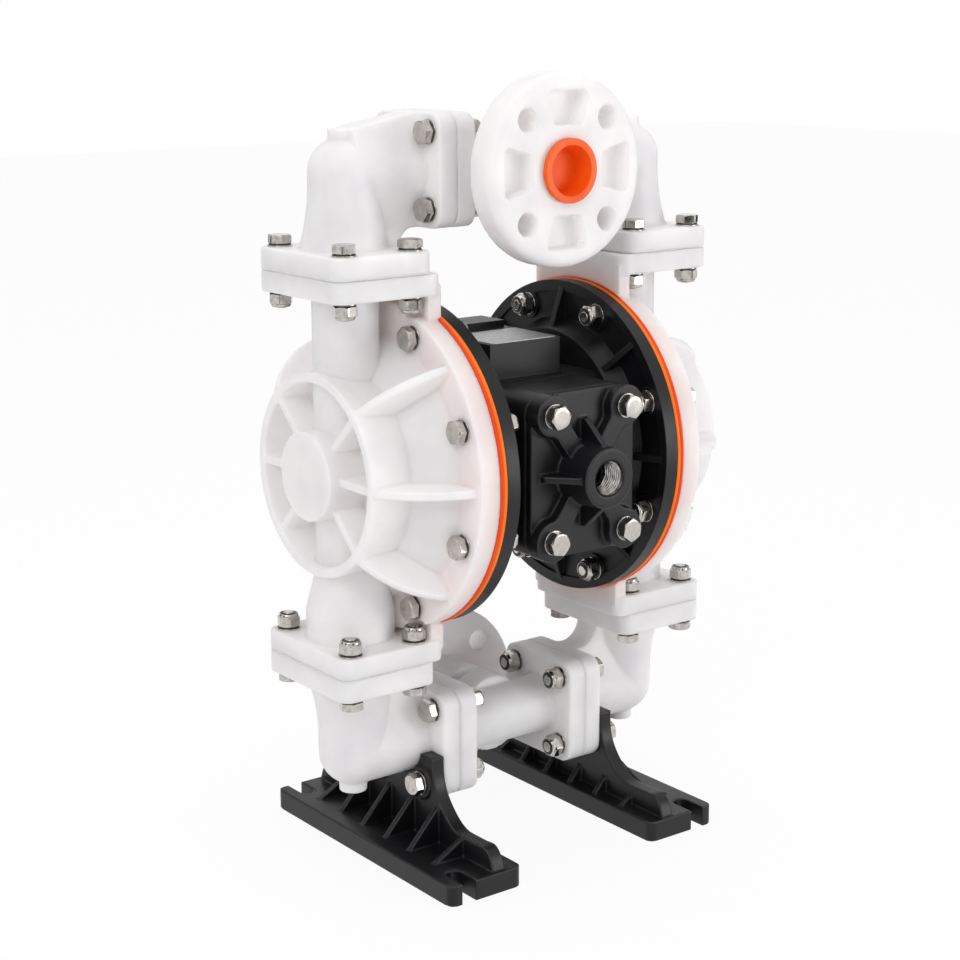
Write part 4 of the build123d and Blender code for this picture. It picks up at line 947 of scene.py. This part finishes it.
@dataclass
class Moulding:
    """A moulded piece, with the radii of its mould worked into the CAD shape."""

    node: str
    slot: Slot
    voxel: float = 0.9
    passes: int = 5
    keep: float = 0.4

    def build(self) -> None:
        """Softens the CAD shape's edges and stands in for it."""
        made = bpy.data.objects.new(self.node + "_moulding", frame["nodes"][self.node].data.copy())
        bpy.context.scene.collection.objects.link(made)
        coarse = 1.0
        skin = made.modifiers.new("skin", "REMESH")
        skin.mode, skin.voxel_size = "VOXEL", self.voxel * coarse * MM
        skin.use_smooth_shade = True
        soften = made.modifiers.new("soften", "SMOOTH")
        soften.factor, soften.iterations = 0.5, self.passes
        made.modifiers.new("thin", "DECIMATE").ratio = self.keep
        ready = made.evaluated_get(bpy.context.evaluated_depsgraph_get())
        data = bpy.data.meshes.new_from_object(ready)
        made.modifiers.clear()
        made.data = data
        data.shade_smooth()
        dress(made, WORN_BLACK if self.slot is Slot.BLACK else FINISHES[self.slot])
        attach(made, "pump")
        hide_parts(self.node)
        LOG.info("%s: %d faces on pump", made.name, len(data.polygons))


@dataclass
class AirInlet:
    """The threaded metal insert of the air valve's cap."""

    bore: float = 9.3
    depth: float = 1.15
    pitch: float = 1.814
    wall: float = 10.7
    lip: float = 0.2
    lead: float = 0.6
    flank: float = 0.9
    around: int = 72
    per_pitch: int = 8

    def build(self) -> None:
        """Cuts the thread into the insert's wall and stands in for it."""
        low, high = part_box("air_inlet_insert")
        middle = (low + high) / 2 / MM
        front, back = low.y / MM, high.y / MM
        start = front + self.lead
        steps = int((back - front) / self.pitch * self.per_pitch)
        rows = []
        for i in range(self.around + 1):
            row = [(self.wall, back), (self.wall, front), (self.bore + self.depth + self.lip, front)]
            for j in range(steps + 1):
                y = start + (back - start) * j / steps
                phase = ((y - front) / self.pitch + i / self.around) % 1
                crest = min(2 * phase, 2 - 2 * phase) ** self.flank * min(1, j / self.per_pitch)
                row.append((self.bore + self.depth * (1 - crest), y))
            angle = math.tau * i / self.around
            x, z = math.cos(angle), math.sin(angle)
            rows.append([(middle.x + r * x, y, middle.z + r * z) for r, y in row])
        stock = Stock("air_inlet_thread")
        stock.sheet(rows)
        # Painted shade darkens the thread from its crests to its roots.
        crest_r, root_r = self.bore + 0.3, self.bore + self.depth
        bore = ThreadRootShade(middle.x * MM, middle.z * MM, crest_r * MM, root_r * MM)
        threaded = replace(FINISHES[Slot.INLET], name="threaded_metal_painted_shade", bore=bore)
        made = stock.piece("pump", Slot.INLET, threaded, crease=60.0)
        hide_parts("air_inlet_insert")


@dataclass
class Diaphragms:
    """The diaphragms, whose orange rims show a wide and a narrow bead between the chambers, the wide
    bead in a brighter orange as painted light.
    """

    low: float = 66.0
    split: float = 68.7
    high: float = 71.0
    bead_r: float = 101.5
    bulge: float = 0.9
    inner_r: float = 99.2
    core_r: float = 100.2
    plate_r: float = 50.0
    clamp_r: float = 78.0
    long_edge: float = 20.0
    cuts: int = 19

    def core(self, name: str) -> None:
        """Copies a diaphragm with its rim drawn in to make room for the beads.

        Args:
            name: The diaphragm's node.
        """
        low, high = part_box(name)
        centre = (low + high) / 2
        stock = bmesh.new()
        stock.from_mesh(frame["nodes"][name].data)
        bmesh.ops.remove_doubles(stock, verts=stock.verts, dist=1e-6)
        long = [edge for edge in stock.edges if edge.calc_length() > self.long_edge * MM]
        bmesh.ops.subdivide_edges(stock, edges=long, cuts=self.cuts, use_grid_fill=True)
        for vert in stock.verts:
            away = Vector((0, vert.co.y - centre.y, vert.co.z - centre.z))
            if away.length > self.core_r * MM:
                vert.co -= away * (1 - self.core_r * MM / away.length)
        bmesh.ops.triangulate(stock, faces=[face for face in stock.faces if len(face.verts) > 4])
        data = bpy.data.meshes.new(name + "_core")
        stock.to_mesh(data)
        stock.free()
        made = bpy.data.objects.new(name + "_core", data)
        bpy.context.scene.collection.objects.link(made)
        dress(made, FINISHES[Slot.ELASTOMER])
        self.flex(made, centre)
        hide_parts(name)
        LOG.info("%s: %d faces between pump and diaphragm_assembly", made.name, len(data.polygons))

    def flex(self, made: bpy.types.Object, centre: Vector) -> None:
        """Bakes the core's place into its mesh and finds each point's radius, but bends nothing.

        Args:
            made: The diaphragm's core.
            centre: Its middle, in metres.
        """
        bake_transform(made)
        for vert in made.data.vertices:
            radius = off_axis(vert.co - centre, 0) / MM

    def beads(self, name: str) -> None:
        """Makes the two beads of a diaphragm's rim.

        Args:
            name: The diaphragm's node.
        """
        stock = Stock(name + "_rim")
        low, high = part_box(name)
        centre = Vector((0, (low.y + high.y) / 2, (low.z + high.z) / 2))
        way = Vector((math.copysign(1, low.x + high.x), 0, 0))
        place = Matrix.Translation(centre) @ way.to_track_quat("Z", "Y").to_matrix().to_4x4()
        points, inset = 8, 0.05
        for number, (start, end) in enumerate(((self.low, self.split), (self.split, self.high))):
            middle, half = (start + end) / 2, (end - start) / 2
            profile = [(self.inner_r, start + inset)]
            for point in range(points + 1):
                angle = math.pi * (0.05 + 0.9 * point / points)
                sunk = self.bulge * (1 - math.sin(angle))
                profile.append((self.bead_r - sunk, middle - math.cos(angle) * half))
            profile.append((self.inner_r, end - inset))
            # Painted light: the wide bead takes the brighter copy of the rubber, the narrow bead the
            # plain one.
            stock.turned(profile, place, 180, 1 - number)
        body = frame["nodes"][name]["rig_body"]
        stock.piece(body, Slot.ELASTOMER, FINISHES[Slot.ELASTOMER], PAINTED_LIGHT_RIM, crease=50.0)

    def build(self) -> None:
        """Makes both diaphragms."""
        for name in ("left_diaphragm", "right_diaphragm"):
            self.core(name)
            self.beads(name)


@dataclass
class NamePlate:
    """The bare metal plate on top of the centre body."""

    half_x: float = 25.4
    front: float = -33.3
    back: float = 8.6
    top: float = 320.5
    thick: float = 0.5
    corner: float = 2.0
    eased: float = 0.15
    inset: float = 1.0
    corner_steps: int = 6

    def build(self) -> None:
        """Makes the plate."""
        x, front, back = self.half_x - self.corner, self.front + self.corner, self.back - self.corner
        outline = []
        for start, (cx, cy) in enumerate(((x, back), (-x, back), (-x, front), (x, front))):
            for step in range(self.corner_steps + 1):
                angle = math.radians(90 * (start + step / self.corner_steps))
                outline.append((cx, cy, math.cos(angle), math.sin(angle)))
        outline.append(outline[0])
        rows = []
        upper = self.thick - self.eased
        for inset, z in ((0, 0), (0, upper), (self.eased, self.thick), (self.inset, self.thick)):
            r = self.corner - inset
            rows.append([(cx + r * c, cy + r * s, self.top + z) for cx, cy, c, s in outline])
        stock = Stock("nameplate")
        stock.sheet(rows)
        stock.mesh.faces.new([stock.mesh.verts.new(Vector(p) * MM) for p in rows[-1][:-1]])
        stock.piece("pump", Slot.ALUMINIUM, PLATE)


@dataclass
class CarriedOver:
    """The CAD nodes that stay as they are, and take a finish."""

    def build(self) -> None:
        """Puts each slot's finish on its nodes."""
        for part in frame["record"]["subparts"]:
            dress(frame["nodes"][part["node"]], FINISHES[Slot(part["material_slot"])])


@dataclass
class Studio:
    """Camera, floor and lights."""

    eye: Triple = (-0.752685, -0.977235, 0.517886)
    right: Triple = (0.80644, -0.59127, -0.00675)
    up: Triple = (0.12738, 0.16256, 0.97844)
    forward: Triple = (0.57743, 0.78992, -0.20641)
    lens: float = 74.73
    sensor: float = 36.0
    shift: Pair = (0.0388, -0.0499)
    floor_half: float = 6.0
    room: float = 0.7
    lamps: tuple[tuple[str, Triple, float, float], ...] = (
        ("key", (-1.6, -0.9, 1.5), 1.1, 10.5),
        ("front", (1.25, -1.7, 0.35), 0.8, 10.0),
        ("top", (0.1, 0.2, 1.9), 1.2, 6.5),
    )
    flags: tuple[tuple[float, float], ...] = (
        (20, 0.5),
        (75, 0.4),
        (130, 0.6),
        (182, 0.45),
        (218, 0.3),
        (262, 0.5),
        (338, 0.35),
    )
    flag_away: float = 1.5
    flag_high: float = 1.5
    flag_z: float = 0.25

    def camera(self) -> None:
        """Stands the camera."""
        data = bpy.data.cameras.new("camera")
        data.lens, data.sensor_width, data.clip_start = self.lens, self.sensor, 0.01
        data.shift_x, data.shift_y = self.shift
        stand = bpy.data.objects.new("camera", data)
        bpy.context.scene.collection.objects.link(stand)
        turn = Matrix((self.right, self.up, [-v for v in self.forward])).transposed()
        stand.matrix_world = Matrix.Translation(self.eye) @ turn.to_4x4()
        bpy.context.scene.camera = stand

    def floor(self) -> None:
        """Lays the floor."""
        stock = bmesh.new()
        bmesh.ops.create_grid(stock, x_segments=8, y_segments=8, size=self.floor_half)
        data = bpy.data.meshes.new("floor")
        stock.to_mesh(data)
        stock.free()
        laid = bpy.data.objects.new("floor", data)
        bpy.context.scene.collection.objects.link(laid)
        dress(laid, Backdrop())

    def stand(self, name: str, data: bpy.types.ID, place: Triple, target: Triple) -> bpy.types.Object:
        """Adds an object that faces a point.

        Args:
            name: The object's name.
            data: Its lamp or mesh.
            place: Where it stands, in metres.
            target: The point that it faces, in metres.

        Returns:
            The object.
        """
        made = bpy.data.objects.new(name, data)
        bpy.context.scene.collection.objects.link(made)
        made.location = place
        way = Vector(target) - Vector(place)
        made.rotation_euler = way.to_track_quat("-Z", "Y").to_euler()
        return made

    def lamp(self, name: str, place: Triple, size: float, power: float) -> None:
        """Hangs a soft box that faces the pump.

        Args:
            name: The lamp's name.
            place: Where it hangs, in metres.
            size: Its width, in metres.
            power: Its power, in watts.
        """
        data = bpy.data.lights.new(name, "AREA")
        data.shape, data.size, data.energy = "SQUARE", size, power
        self.stand(name, data, place, (0, 0, 0.24))

    def flag(self, name: str, degrees: float, wide: float) -> None:
        """Stands a dark flag that only reflections show.

        Args:
            name: The flag's name.
            degrees: Its direction from the pump, from the X axis.
            wide: Its width, in metres.
        """
        x, y = wide / 2, self.flag_high / 2
        data = bpy.data.meshes.new(name)
        data.from_pydata([(-x, -y, 0), (x, -y, 0), (x, y, 0), (-x, y, 0)], [], [(0, 1, 2, 3)])
        turn, away = math.radians(degrees), self.flag_away
        place = (away * math.cos(turn), away * math.sin(turn), self.flag_z)
        made = self.stand(name, data, place, (0, 0, self.flag_z))
        made.visible_camera = made.visible_diffuse = False
        made.visible_shadow = made.visible_transmission = False
        dress(made, FINISHES[Slot.RUBBER])

    def sky(self) -> None:
        """Sets the world: white where it is seen, and a grey room to everything else."""
        world = bpy.data.worlds.new("room")
        bpy.context.scene.world = world
        graph = Graph(world)
        room, white = (
            graph.node("ShaderNodeBackground", None, {"Color": (1.0, 1.0, 1.0), "Strength": strength})
            for strength in (self.room, 1.0)
        )
        shares = {0: graph.clear_view(), 1: room.outputs[0], 2: white.outputs[0]}
        blend = graph.node("ShaderNodeMixShader", None, shares)
        graph.node("ShaderNodeOutputWorld", None, {"Surface": blend.outputs[0]})

    def build(self) -> None:
        """Sets up the studio."""
        bpy.context.scene.view_settings.view_transform = "Standard"
        self.camera()
        self.floor()
        self.sky()
        for lamp in self.lamps:
            self.lamp(*lamp)
        for number, (degrees, wide) in enumerate(self.flags):
            self.flag(f"flag_{number}", degrees, wide)


CASTINGS = (
    Moulding("right_outer_chamber", Slot.NATURAL, voxel=0.75, passes=6, keep=0.22),
    Moulding("left_outer_chamber", Slot.NATURAL, voxel=0.75, passes=6, keep=0.22),
    Moulding("upper_right_elbow", Slot.NATURAL, passes=7),
    Moulding("upper_left_elbow", Slot.NATURAL, passes=7),
    Moulding("lower_right_elbow", Slot.NATURAL, passes=7),
    Moulding("lower_left_elbow", Slot.NATURAL, passes=7),
    Moulding("discharge_manifold", Slot.NATURAL),
    Moulding("suction_manifold", Slot.NATURAL),
    Moulding("air_valve_cap", Slot.BLACK, voxel=0.6, passes=6),
    Moulding("left_foot", Slot.BLACK, voxel=0.6, passes=3, keep=0.25),
    Moulding("right_foot", Slot.BLACK, voxel=0.6, passes=3, keep=0.25),
)


def main() -> None:
    """Builds the studio and the pump's sub-assemblies in order."""
    logging.basicConfig(level=logging.INFO, format="%(name)s: %(message)s")
    Studio().build()
    for assembly in (CarriedOver(), Fasteners(), *CASTINGS, AirInlet(), Diaphragms(), NamePlate()):
        assembly.build()


if __name__ == "__main__":
    main()
